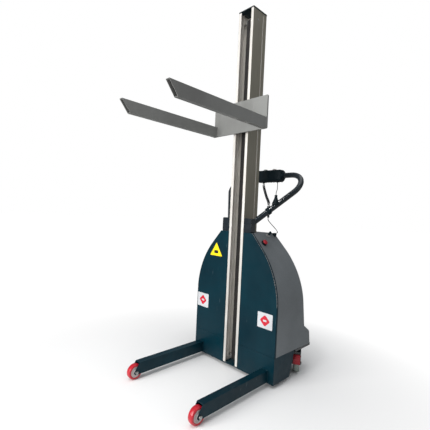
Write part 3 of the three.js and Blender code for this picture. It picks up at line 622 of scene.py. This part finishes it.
# ---- cords ---------------------------------------------------------
def smooth_route(points, steps):
    """A centripetal Catmull-Rom curve through the points, as the CAD's tubes follow."""
    points = [Vector(p) for p in points]
    ends = [2 * points[0] - points[1], *points, 2 * points[-1] - points[-2]]
    route = []
    for a, b, c, d in zip(ends, ends[1:], ends[2:], ends[3:]):
        t1 = math.sqrt((b - a).length)
        t2 = t1 + math.sqrt((c - b).length)
        t3 = t2 + math.sqrt((d - c).length)
        for step in range(steps):
            t = t1 + (t2 - t1) * step / steps
            ab = a.lerp(b, t / t1)
            bc = b.lerp(c, (t - t1) / (t2 - t1))
            cd = c.lerp(d, (t - t2) / (t3 - t2))
            near, far = ab.lerp(bc, t / t2), bc.lerp(cd, (t - t1) / (t3 - t1))
            route.append(near.lerp(far, (t - t1) / (t2 - t1)))
    return [*route, points[-1]]


def length_of(points):
    return sum((b - a).length for a, b in zip(points, points[1:]))


def round_bar(name, points, radius, slot, closed=False):
    """A curve that draws a round bar through the points, or a ring of it."""
    data = bpy.data.curves.new(name, "CURVE")
    data.dimensions = "3D"
    data.bevel_depth = radius
    data.bevel_resolution = 3
    data.use_fill_caps = not closed
    spline = data.splines.new("POLY")
    spline.points.add(len(points) - 1)
    for place, point in zip(spline.points, points):
        place.co = (*point, 1)
    spline.use_cyclic_u = closed
    data.materials.append(MATERIALS[slot])
    made = bpy.data.objects.new(name, data)
    scene.collection.objects.link(made)
    return made


def coiled(route, radius, pitch, per_turn=14):
    """A helix of even radius round a route, from one end of it to the other."""
    total = length_of(route)
    turns = round(total / pitch)
    count = turns * per_turn
    stops = [0.0]
    for a, b in zip(route, route[1:]):
        stops.append(stops[-1] + (b - a).length)
    made = []
    span = 0
    normal = Vector((1, 0, 0))
    for i in range(count + 1):
        at = total * i / count
        while span < len(route) - 2 and stops[span + 1] < at:
            span += 1
        along = (route[span + 1] - route[span]).normalized()
        centre = route[span].lerp(route[span + 1], (at - stops[span]) / (stops[span + 1] - stops[span]))
        normal = (normal - along * normal.dot(along)).normalized()
        other = along.cross(normal)
        angle = 2 * math.pi * i / per_turn
        made.append(centre + radius * (math.cos(angle) * normal + math.sin(angle) * other))
    return made


def add_cord(node, points, diameter):
    piece = round_bar(f"{node}_piece", points, diameter / 2, "cord_rubber")
    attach(piece, "chassis")
    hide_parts(node)


# The ends of the cords, and their routes, repeat the points of the CAD source.
CURLY_EXIT = from_front(-0.044, 0.302, 1.0985)
HORN_LEAD_EXIT = from_front(0.062, 0.302, 1.0985)
CLIP_TOP = from_front(0.14506, 0.104058, 0.944717)
CLIP_FOOT = from_front(0.14506, 0.104058, 0.879117)
HORN_TOP = from_front(0.171751, 0.131874, 1.009558)
GLAND_TOP = from_front(0.139547, 0.195, 0.786884)
CURLY_ROUTE = [
    CURLY_EXIT,
    CURLY_EXIT - UP * 0.014,
    from_front(0.052, 0.201, 1.012),
    CLIP_TOP + UP * 0.012,
    CLIP_TOP,
]
HORN_ROUTE = [
    HORN_LEAD_EXIT,
    HORN_LEAD_EXIT - UP * 0.009,
    from_front(0.112, 0.228, 1.052),
    HORN_TOP + UP * 0.01,
    HORN_TOP,
]
LEAD_ROUTE = [CLIP_FOOT, CLIP_FOOT - UP * 0.012, GLAND_TOP + SLOPE * 0.014, GLAND_TOP]


def make_cords():
    helix = (CORD["coil"] - CORD["wire"]) / 2
    add_cord("curly_cord", coiled(smooth_route(CURLY_ROUTE, 14), helix, CORD["pitch"]), CORD["wire"])
    add_cord("horn_lead", smooth_route(HORN_ROUTE, 8), CORD["lead"])
    add_cord("control_lead", smooth_route(LEAD_ROUTE, 10), CORD["lead"])


make_cords()


# ---- rear cover ----------------------------------------------------
def half_width(z, inset):
    """Half the arch's width at a level, for an arch drawn that far inside the real one."""
    centre = panel.x1 - ARCH["radius"]
    radius = ARCH["radius"] - inset
    if z <= ARCH["side_top"]:
        return panel.x1 - inset
    slope_z = ARCH["side_top"] + radius * math.sin(ARCH["end"])
    if z <= slope_z:
        return centre + math.sqrt(radius**2 - (z - ARCH["side_top"]) ** 2)
    return centre + radius * math.cos(ARCH["end"]) - (z - slope_z) * math.tan(ARCH["end"])


def arch_levels(foot, steps=22):
    """Levels from the foot of the arch to its top, close together where it curves."""
    levels = [foot, ARCH["side_top"]]
    for i in range(1, steps + 1):
        levels.append(ARCH["side_top"] + ARCH["radius"] * math.sin(ARCH["end"] * i / steps))
    return [*levels, panel.z1]


def cover_slice(z, shoulder):
    """One level of the cover: a half outline from its front edge round the rear corner, then mirrored."""
    depth, round_off = COVER["foot_rear"], COVER["round"]
    rear = depth - COVER["lean"] * (z - COVER["foot_level"])
    flare = min(1.0, max(0.0, (SKIRT["top"] - z) / (SKIRT["top"] - SKIRT["step"])))
    stretch = (rear + flare * SKIRT["rear"]) / depth
    points = [Vector((half_width(z, 0), panel.y1 + GAP, z))]
    # The rear corner is an ellipse: the round's depth is stretched with the cover's lean.
    steps = 10
    for i in range(steps + 1):
        angle = shoulder * i / steps
        inset = round_off * (1 - math.cos(angle))
        y = (depth - round_off + round_off * math.sin(angle)) * stretch
        points.append(Vector((half_width(z, inset) + flare * SKIRT["side"], front + y, z)))
    return points + [Vector((-p.x, p.y, p.z)) for p in reversed(points)]


def cover_skin():
    """The cover's outer face: plain levels to the shoulder, then levels that close over its rounded edge."""
    round_off = COVER["round"]
    quarter = math.pi / 2
    shoulder_z = panel.z1 - round_off
    levels = [cover.z0, SKIRT["step"], SKIRT["top"]]
    levels += [z for z in arch_levels(SKIRT["top"] + 0.04) if z < shoulder_z - 0.003]
    slices = [cover_slice(z, quarter) for z in levels]
    steps = 8
    for i in range(steps):
        angle = quarter * (1 - i / steps)
        slices.append(cover_slice(panel.z1 - round_off * (1 - math.cos(angle)), angle))
    slices.append(cover_slice(panel.z1, 0.02))
    return slices


def make_cover():
    """The cover's sheet, open at the front and foot, with a notch in its top for the mast."""
    bm = bmesh.new()
    rings = [[bm.verts.new(p) for p in loop] for loop in cover_skin()]
    for a, b in zip(rings, rings[1:]):
        join_rings(bm, a, b, closed=False)
    bm.faces.new(rings[-1])
    bmesh.ops.recalc_face_normals(bm, faces=bm.faces)
    skin = to_object("rear_cover_piece", bm)
    wall = skin.modifiers.new("wall", "SOLIDIFY")
    wall.thickness = COVER["wall"]
    wall.offset = -1
    apply(skin)
    notch_half = mast.x1 + GAP
    notch = rectangle(-notch_half, notch_half, front - 0.02, mast.y1 + GAP)
    combine(skin, prism(notch, "z", panel.z1 - 0.03, panel.z1 + 0.02), "DIFFERENCE")
    finish_piece(skin, "chassis", "grey_cover", ["rear_cover"], edge=0.0022, smooth=28)


def strip(outer, inner, low, high):
    """A thin strip between two lines of (x, z) points, drawn out along y."""
    loops = []
    for (x0, z0), (x1, z1) in zip(outer, inner):
        loops.append([Vector(p) for p in ((x0, low, z0), (x0, high, z0), (x1, high, z1), (x1, low, z1))])
    return loft(loops)


def make_panel_folds():
    """The front panels' edges, folded back over the cover along the arch, and a bright steel strip on their
    edges along the upper arch that is a painted highlight.
    """
    fold_depth, proud = 0.009, 0.0009
    levels = arch_levels(panel.z0)
    clamp = box("handle_clamp_left")
    for side, sign in SIDES.items():
        outer = [(sign * (half_width(z, 0) + proud), z) for z in levels]
        inner = [(sign * half_width(z, 0), z) for z in levels]
        outer.append((sign * clamp.x1, panel.z1 + proud / 2))
        inner.append((sign * clamp.x1, panel.z1 - proud))
        fold = strip(outer, inner, panel.y1, panel.y1 + fold_depth)
        finish_piece(to_object(f"panel_fold_{side}", fold), "chassis", "blue_paint", edge=0.0003)
        # Painted highlight: the panel's edge is drawn as a bright steel strip only along the upper arch,
        # where light catches it.
        raised = [pair for pair in zip(outer, inner) if pair[0][1] > ARCH["side_top"] + 0.01]
        rim = strip(*zip(*raised), panel.y0 + 0.0003, panel.y1 - 0.0001)
        finish_piece(to_object(f"panel_edge_highlight_{side}", rim), "chassis", "bright_steel")


# ---- labels, welds -------------------------------------------------
def label(name, outline, layer, colour):
    """A thin printed shape on the front panels; layer 0 lies on the panel, 1 on the layer below it."""
    thickness = 0.0003
    outer = front - thickness * (layer + 1)
    piece = to_object(name, prism(outline, "y", outer, outer + thickness * 0.9))
    finish_piece(piece, "chassis", None, material=LABEL_COLOURS[colour])


def hazard_outline(triangle, inset, radius):
    """The warning triangle's outline, drawn that far inside its edge."""
    x, low, high = triangle["x"], triangle["low"] + inset, triangle["high"] - 2 * inset
    half = triangle["half"] - 1.7 * inset
    return rounded([(x - half, low), (x + half, low), (x, high)], radius, 4)


def make_labels():
    """Plain stickers with no words: a yellow triangle, and a white square with a red mark on each panel."""
    triangle = {"x": -0.1505, "half": 0.0545, "low": 0.631, "high": 0.718}
    label("hazard_label_edge", hazard_outline(triangle, 0, 0.009), 0, "label_black")
    label("hazard_label", hazard_outline(triangle, 0.0022, 0.006), 1, "label_yellow")
    mark = centred(triangle["x"], triangle["low"] + 0.026, 0.017, 0.009)
    label("hazard_mark", rounded(mark, 0.008, 4), 2, "label_black")
    # Each notice's two sides, then its lower and upper edge.
    notices = {"left": (0.182, 0.278, 0.296, 0.378), "right": (-0.295, -0.199, 0.302, 0.386)}
    for side, (x0, x1, z0, z1) in notices.items():
        label(f"notice_{side}", rounded(rectangle(x0, x1, z0, z1), 0.004, 3), 0, "label_white")
        x, z = (x0 + x1) / 2, (z0 + z1) / 2
        diamond = rounded([(x - 0.033, z), (x, z - 0.031), (x + 0.033, z), (x, z + 0.031)], 0.009, 4)
        label(f"notice_mark_{side}", diamond, 1, "label_red")
        window = rounded(centred(x, z, 0.011, 0.005), 0.003, 3)
        label(f"notice_window_{side}", window, 2, "label_white")


def weld_bead(name, outline, y, radius, body, slot):
    """A bead of weld round a tube's end, on an outline of (x, z) points."""
    made = round_bar(name, [(x, y, z) for x, z in outline], radius, slot, closed=True)
    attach(made, body)


def make_welds():
    sunk = 0.0008
    for side in SIDES:
        leg, fork = box(f"leg_{side}"), box(f"fork_{side}")
        around_leg = rounded(rectangle(leg.x0, leg.x1, leg.z0, leg.z1), 0.004)
        weld_bead(f"leg_weld_{side}", around_leg, front - sunk, 0.0024, "chassis", "blue_paint")
        around_fork = rounded(rectangle(fork.x0, fork.x1, fork.z0, fork.z1), 0.003)
        weld_bead(f"fork_weld_{side}", around_fork, fork.y1 - sunk, 0.002, "carriage", "grey_paint")


# ---- wheels --------------------------------------------------------
def ring_profile(points, radius):
    """A closed profile with its corners rounded."""
    return [tuple(p) for p in rounded(points, radius, 3)]


def shaft_profile(points, radius):
    """A profile that starts and ends on the axis, with its corners rounded."""
    return [tuple(p) for p in rounded(points, radius, 2, closed=False)]


def both_flanks(flank, crown=()):
    """A profile from one flank's (radius, distance from the middle) points, mirrored to the other side."""
    return [(r, -x) for r, x in flank] + list(crown) + list(reversed(flank))


def front_tread(radius, half, rim):
    """A tread with a low crown and soft shoulders, moulded on a hub's rim."""
    flank = [(rim + GAP, half - 0.001), (radius - 0.005, half), (radius - 0.0012, half - 0.0035)]
    return ring_profile(both_flanks(flank, [(radius, 0)]), 0.002)


def front_hub(rim, face):
    """A hub with a raised boss round its bore and a dished face inside its rim."""
    boss, boss_foot, rim_step = 0.0105, 0.0125, 0.002
    flank = [
        (BORE, face),
        (boss, face),
        (boss_foot, face - 0.005),
        (rim - 0.006, face - 0.0055),
        (rim - 0.003, face - rim_step),
        (rim, face - rim_step),
    ]
    return ring_profile(both_flanks(flank), 0.0008)


def bolt(start, end):
    """A socket-head bolt along x, with its nut and thread end."""
    head, socket, socket_depth, chamfer = 0.008, 0.0036, 0.0028, 0.001
    head_end, nut_start, nut_end = start + 0.005, end - 0.008, end - 0.0015
    profile = [
        (0, start + socket_depth),
        (socket, start + socket_depth),
        (socket + 0.0006, start),
        (head, start),
        (head, head_end),
        (PIN_RADIUS, head_end),
        (PIN_RADIUS, nut_start),
        (head, nut_start),
        (head, nut_end),
        (PIN_RADIUS, end - chamfer),
        (PIN_RADIUS - chamfer, end),
        (0, end),
    ]
    return shaft_profile(profile, 0.0006)


def make_front_wheels():
    axis = (1, 0, 0)
    for side in SIDES:
        tread, hub, pin = (box(f"front_wheel_{part}_{side}") for part in ("tread", "hub", "bolt"))
        place = (tread.x, tread.y, tread.z)
        rim = hub.z1 - hub.z
        tyre = front_tread(tread.z1 - tread.z, tread.x1 - tread.x, rim)
        stand_in(f"front_wheel_tread_{side}", lathe(tyre, place, axis, 64), "red_tread")
        core = front_hub(rim, hub.x1 - hub.x)
        stand_in(f"front_wheel_hub_{side}", lathe(core, place, axis, 48), "light_plastic")
        shank = bolt(pin.x0 - tread.x, pin.x1 - tread.x)
        stand_in(f"front_wheel_bolt_{side}", lathe(shank, place, axis, 32), "bright_steel")


def castor_axis(side):
    """The direction of a castor's axle: the two castors are turned about +Z by the same angle, mirrored."""
    return Vector((math.cos(CASTOR_YAW), SIDES[side] * math.sin(CASTOR_YAW), 0))


def make_fork_web(side, wheel, axis):
    """The folded plate that joins a castor fork's legs above the pedal, from the crown to the front."""
    back = Vector((-axis.y, axis.x, 0))
    middle = Vector((wheel.x, wheel.y, 0))
    half = 0.0199
    crown, fold, lip, thickness = 0.003, -0.0465, 0.1175, 0.003
    top, front_top = 0.1312, 0.1292
    outline = [
        (crown, top),
        (fold, front_top),
        (fold, lip),
        (fold + thickness, lip),
        (fold + thickness, front_top - thickness),
        (crown, top - thickness),
    ]
    section = [middle + along * back + z * UP for along, z in outline]
    ends = [[point + across * axis for point in section] for across in (-half, half)]
    piece = to_object(f"castor_fork_web_{side}", loft(ends))
    finish_piece(piece, f"castor_{side}", "black_paint", edge=0.0008)


def castor_tyre(radius):
    """A solid castor wheel: a boss round the bore, a dished web, and a tread with rounded shoulders."""
    half, boss = 0.017, 0.012
    flank = [
        (BORE, half + 0.002),
        (boss, half + 0.002),
        (boss + 0.002, half - 0.003),
        (radius - 0.016, half - 0.0035),
        (radius - 0.013, half),
        (radius - 0.005, half),
        (radius - 0.0008, half - 0.0055),
    ]
    return ring_profile(both_flanks(flank, [(radius, 0)]), 0.0016)


def castor_pin():
    """An axle with a domed head outside each leg of the fork."""
    outside, head, thickness, dome = 0.0233, 0.0083, 0.005, 0.0015
    flank = [
        (0, outside + thickness),
        (head - dome, outside + thickness),
        (head, outside + thickness - dome),
        (head, outside),
        (PIN_RADIUS, outside),
    ]
    return shaft_profile(both_flanks(flank), 0.0005)


def make_castors():
    for side in SIDES:
        wheel, axis = box(f"castor_wheel_{side}"), castor_axis(side)
        place = (wheel.x, wheel.y, wheel.z)
        make_fork_web(side, wheel, axis)
        tyre = castor_tyre(wheel.z1 - wheel.z)
        stand_in(f"castor_wheel_{side}", lathe(tyre, place, axis, 64), "grey_tread")
        stand_in(f"castor_axle_{side}", lathe(castor_pin(), place, axis, 32), "bright_steel")


# ---- controls ------------------------------------------------------
STOP_AT, KEY_AT = (0.163, 0.05), (0.128, 0.13)


def slope_point(x, y):
    """The point of the cover's left slope at that x, and at that y from the mast's front face."""
    centre = panel.x1 - ARCH["radius"]
    arc_end = Vector((centre, 0, ARCH["side_top"])) + ARCH["radius"] * SLOPE
    return Vector((x, front + y, arc_end.z + (arc_end.x - x) / math.tan(ARCH["end"])))


def on_slope(node, at, profile, slot, closed=True, radius=0.001):
    points = ring_profile(profile, radius) if closed else shaft_profile(profile, radius)
    stand_in(node, lathe(points, slope_point(*at), SLOPE, 48), slot)


def fitting(bore, shank, depth, flange, *top):
    """The profile of a bored fitting: its shank through the sheet, a flange on it, and the points above."""
    return [(bore, -depth), (shank, -depth), (shank, GAP), (flange, GAP), *top, (bore, top[-1][1])]


def make_cover_controls():
    stem, shank, depth = 0.0045, 0.009, 0.024
    collar = fitting(stem + GAP, shank, depth, 0.017, (0.017, 0.004), (0.0155, 0.006))
    on_slope("stop_button_collar", STOP_AT, collar, "black_plastic")
    cap = [(stem, 0.01), (0.012, 0.01), (0.015, 0.0125), (0.015, 0.016), (0.01, 0.0195), (0, 0.0205)]
    on_slope("stop_button", STOP_AT, [(0, -0.016), (stem, -0.016), *cap], "red_plastic", False, 0.0015)
    barrel = fitting(0.0025, shank, depth, 0.012, (0.012, 0.003), (0.009, 0.005))
    on_slope("key_switch", KEY_AT, barrel, "bright_steel", True, 0.0007)
    dome = [(0.012, 0.006), (0.0105, 0.008), (0.0065, GLAND["height"])]
    gland = fitting(0.0026, GLAND["shank"], 0.014, 0.012, *dome)
    on_slope("cable_gland", GLAND["at"], gland, "black_plastic")


# ---- handle --------------------------------------------------------
def handle_path():
    """The bow's centreline: up from one clamp, round a bend, across, and down to the other clamp."""
    to_foot, to_middle = -RISE, Vector((-1, 0, 0))
    half = to_foot.angle(to_middle) / 2
    tangent = BEND / math.tan(half)
    centre = CORNER + (to_foot + to_middle).normalized() * BEND / math.sin(half)
    start, end = CORNER + to_foot * tangent - centre, CORNER + to_middle * tangent - centre
    in_clamp, in_head, steps = 0.018, 0.06, 16
    points = [FOOT - RISE * in_clamp, CLIP["at"]]
    for i in range(steps + 1):
        points.append(centre + BEND * start.slerp(end, i / steps))
    points.append(Vector((in_head, CORNER.y, CORNER.z)))
    return points + [Vector((-p.x, p.y, p.z)) for p in reversed(points)]


def make_clip():
    """The clip round the left tube, with a lug below for the lead and one above for the curly cord."""
    bore, outside, half = TUBE_RADIUS + GAP, TUBE_RADIUS + CLIP["wall"], CLIP["half_length"]
    ring = [(bore, -half), (outside, -half), (outside, half), (bore, half)]
    piece = to_object("cable_clip_piece", lathe(ring_profile(ring, 0.002), CLIP["at"], RISE, 48))
    near = outside - 0.0005
    for radius, low, high in ((0.006, -CLIP["lower_lug"], -near), (0.009, near, CLIP["upper_lug"])):
        lug = [(0, low), (radius, low), (radius, high), (0, high)]
        combine(piece, lathe(shaft_profile(lug, 0.001), CLIP["at"], UP, 32))
    finish_piece(piece, "chassis", "black_plastic", ["cable_clip"])


def make_horn():
    """The horn: a flared bell that narrows to a ribbed neck where the lead goes in."""
    bell = [(0, 0), (0.021, 0), (0.021, 0.008), (0.0165, 0.019), (0.0115, 0.031), (0.008, 0.043)]
    neck = [(0.007, 0.0475), (0.0085, 0.0485), (0.0085, 0.0525), (0.006, HORN["height"]), (0, HORN["height"])]
    stand_in("horn", lathe(shaft_profile([*bell, *neck], 0.0015), HORN["foot"], UP, 48), "black_plastic")


def make_handle():
    stand_in("handle_bow", tube(handle_path(), TUBE_RADIUS), "black_paint", edge=0.001)
    make_clip()
    make_horn()


def head_section(x, half_depth, half_height, corner):
    points = rounded(centred(CORNER.y, CORNER.z, half_depth, half_height), corner, 6)
    return [Vector((x, y, z)) for y, z in points]


def head_shell():
    """The head's body, which steps down towards each end."""
    steps = [
        (HEAD["half_length"], 0.022, 0.027, 0.012),
        (0.096, 0.0255, 0.031, 0.013),
        (0.088, HEAD["half_depth"], HEAD["half_height"], 0.014),
    ]
    right = [head_section(-x, *rest) for x, *rest in steps]
    left = [head_section(x, *rest) for x, *rest in reversed(steps)]
    return loft(right + left)


def add_sleeves(piece):
    """A short sleeve under the head for each of its cords, reaching down to where the cord starts."""
    for cord_start, radius in ((CURLY_EXIT, 0.0095), (HORN_LEAD_EXIT, 0.0045)):
        top = HEAD_FOOT + 0.004 - cord_start.z
        sleeve = [(0, 0), (radius * 0.85, 0), (radius, 0.004), (radius, top), (0, top)]
        combine(piece, lathe(shaft_profile(sleeve, 0.001), cord_start, UP, 28))


def add_ribs(piece):
    """The grip ribs across the head's underside."""
    count, radius, half, end = 9, 0.005, 0.024, HEAD["half_length"] - 0.02
    profile = shaft_profile([(0, -half), (radius, -half), (radius, half), (0, half)], 0.0015)
    for i in range(count):
        place = (-end + i * 2 * end / (count - 1), CORNER.y, HEAD_FOOT + 0.002)
        combine(piece, lathe(profile, place, (0, 1, 0), 20))


def add_collars(piece):
    """The round collar at each end, which the bow's tube runs into."""
    radius = 0.023
    profile = [(0, -0.01), (radius, -0.01), (radius, 0.005), (radius - 0.002, 0.008), (0, 0.008)]
    for sign in SIDES.values():
        place = (sign * (HEAD["half_length"] + 0.002), CORNER.y, CORNER.z)
        combine(piece, lathe(shaft_profile(profile, 0.001), place, (sign, 0, 0), 40))


def make_button(name, x, slot):
    """A round dished button on top of the head, and the thin ring that it sits in."""
    radius, ring = 0.012, 0.0165
    place = (x, CORNER.y, CORNER.z + HEAD["half_height"])
    rise = box(name).z1 - place[2]
    foot = [(0, -0.0095), (radius, -0.0095)]
    top = [(radius, rise - 0.0025), (radius - 0.0015, rise - 0.0006), (radius / 2, rise), (0, rise - 0.0008)]
    stand_in(name, lathe(shaft_profile(foot + top, 0.0008), place, UP, 40), slot)
    inside = radius + 0.0005
    seat = ring_profile([(inside, -0.001), (ring, -0.001), (ring, 0.0012), (inside, 0.0016)], 0.0006)
    finish_piece(to_object(f"{name}_bezel", lathe(seat, place, UP, 40)), "chassis", "bright_steel")


def make_control_head():
    """The head on the middle of the bow, with everything on it."""
    piece = to_object("control_head_piece", head_shell())
    add_sleeves(piece)
    add_ribs(piece)
    add_collars(piece)
    finish_piece(piece, "chassis", "black_plastic", ["control_head"], smooth=30)
    make_button("up_button", 0.034, "light_plastic")
    make_button("down_button", -0.034, "grey_tread")


make_cover()
make_panel_folds()
make_labels()
make_welds()
make_front_wheels()
make_castors()
make_cover_controls()
make_handle()
make_control_head()


# ---- floor and light -----------------------------------------------
def make_stage():
    """A pale floor that turns to plain white away from the object."""
    bm = bmesh.new()
    bmesh.ops.create_grid(bm, x_segments=2, y_segments=2, size=30)
    floor = to_object("floor", bm)
    made = Finish("floor", specular_ior_level=0.1, emission_color=(1, 1, 1, 1))
    near, far = 0.5, 1.3
    away = made.nodes.new("ShaderNodeVectorMath")
    away.operation = "LENGTH"
    made.link(made.place, away.inputs[0])
    white = made.between(away.outputs["Value"], near, far)
    plain = made.mixed(made.noise(2, 4), linear(240, 240, 240), linear(236, 236, 236))
    made.colour(made.mixed(white, plain, (0, 0, 0, 1)))
    seen = made.nodes.new("ShaderNodeLightPath").outputs["Is Camera Ray"]
    glow = made.compute("MULTIPLY", white, made.between(seen, 0, 1, 0.4, 1))
    made.link(glow, made.shader.inputs["Emission Strength"])
    made.rough(made.noise(5, 3), 0.3, 0.7, 0.7, 0.85)
    floor.data.materials.append(made.material)


def area_light(name, place, size, power, colour=(1, 1, 1)):
    """A soft box that faces the middle of the object."""
    middle = Vector((0, 0, 0.8))
    data = bpy.data.lights.new(name, "AREA")
    data.shape = "RECTANGLE"
    data.size, data.size_y = size
    data.energy = power
    data.color = colour
    light = bpy.data.objects.new(name, data)
    scene.collection.objects.link(light)
    light.location = place
    light.rotation_euler = (Vector(place) - middle).to_track_quat("Z", "Y").to_euler()


def make_light():
    """A white surround that the camera sees, a dimmer one that lights the object, and the soft boxes."""
    world = bpy.data.worlds.new("surround")
    scene.world = world
    world.use_nodes = True
    tree = world.node_tree
    seen = tree.nodes["Background"]
    seen.inputs["Color"].default_value = (1, 1, 1, 1)
    lit = tree.nodes.new("ShaderNodeBackground")
    lit.inputs["Color"].default_value = (0.93, 0.96, 1, 1)
    lit.inputs["Strength"].default_value = 0.32
    path = tree.nodes.new("ShaderNodeLightPath")
    mix = tree.nodes.new("ShaderNodeMixShader")
    tree.links.new(path.outputs["Is Camera Ray"], mix.inputs["Fac"])
    tree.links.new(lit.outputs["Background"], mix.inputs[1])
    tree.links.new(seen.outputs["Background"], mix.inputs[2])
    tree.links.new(mix.outputs["Shader"], tree.nodes["World Output"].inputs["Surface"])
    area_light("key", (-0.7, -3.2, 1.7), (1.6, 2.4), 105, (1, 0.99, 0.97))
    area_light("glint", (0.2, -1.6, 3.4), (0.5, 0.16), 30)
    area_light("fill", (1.1, -3.2, 1.2), (0.8, 2.2), 42)
    area_light("side", (3.6, 0.6, 2.2), (1.6, 2.4), 7)
    area_light("top", (0.4, 0.6, 4.2), (3, 3), 34)
    scene.view_settings.view_transform = "Standard"


make_stage()
make_light()
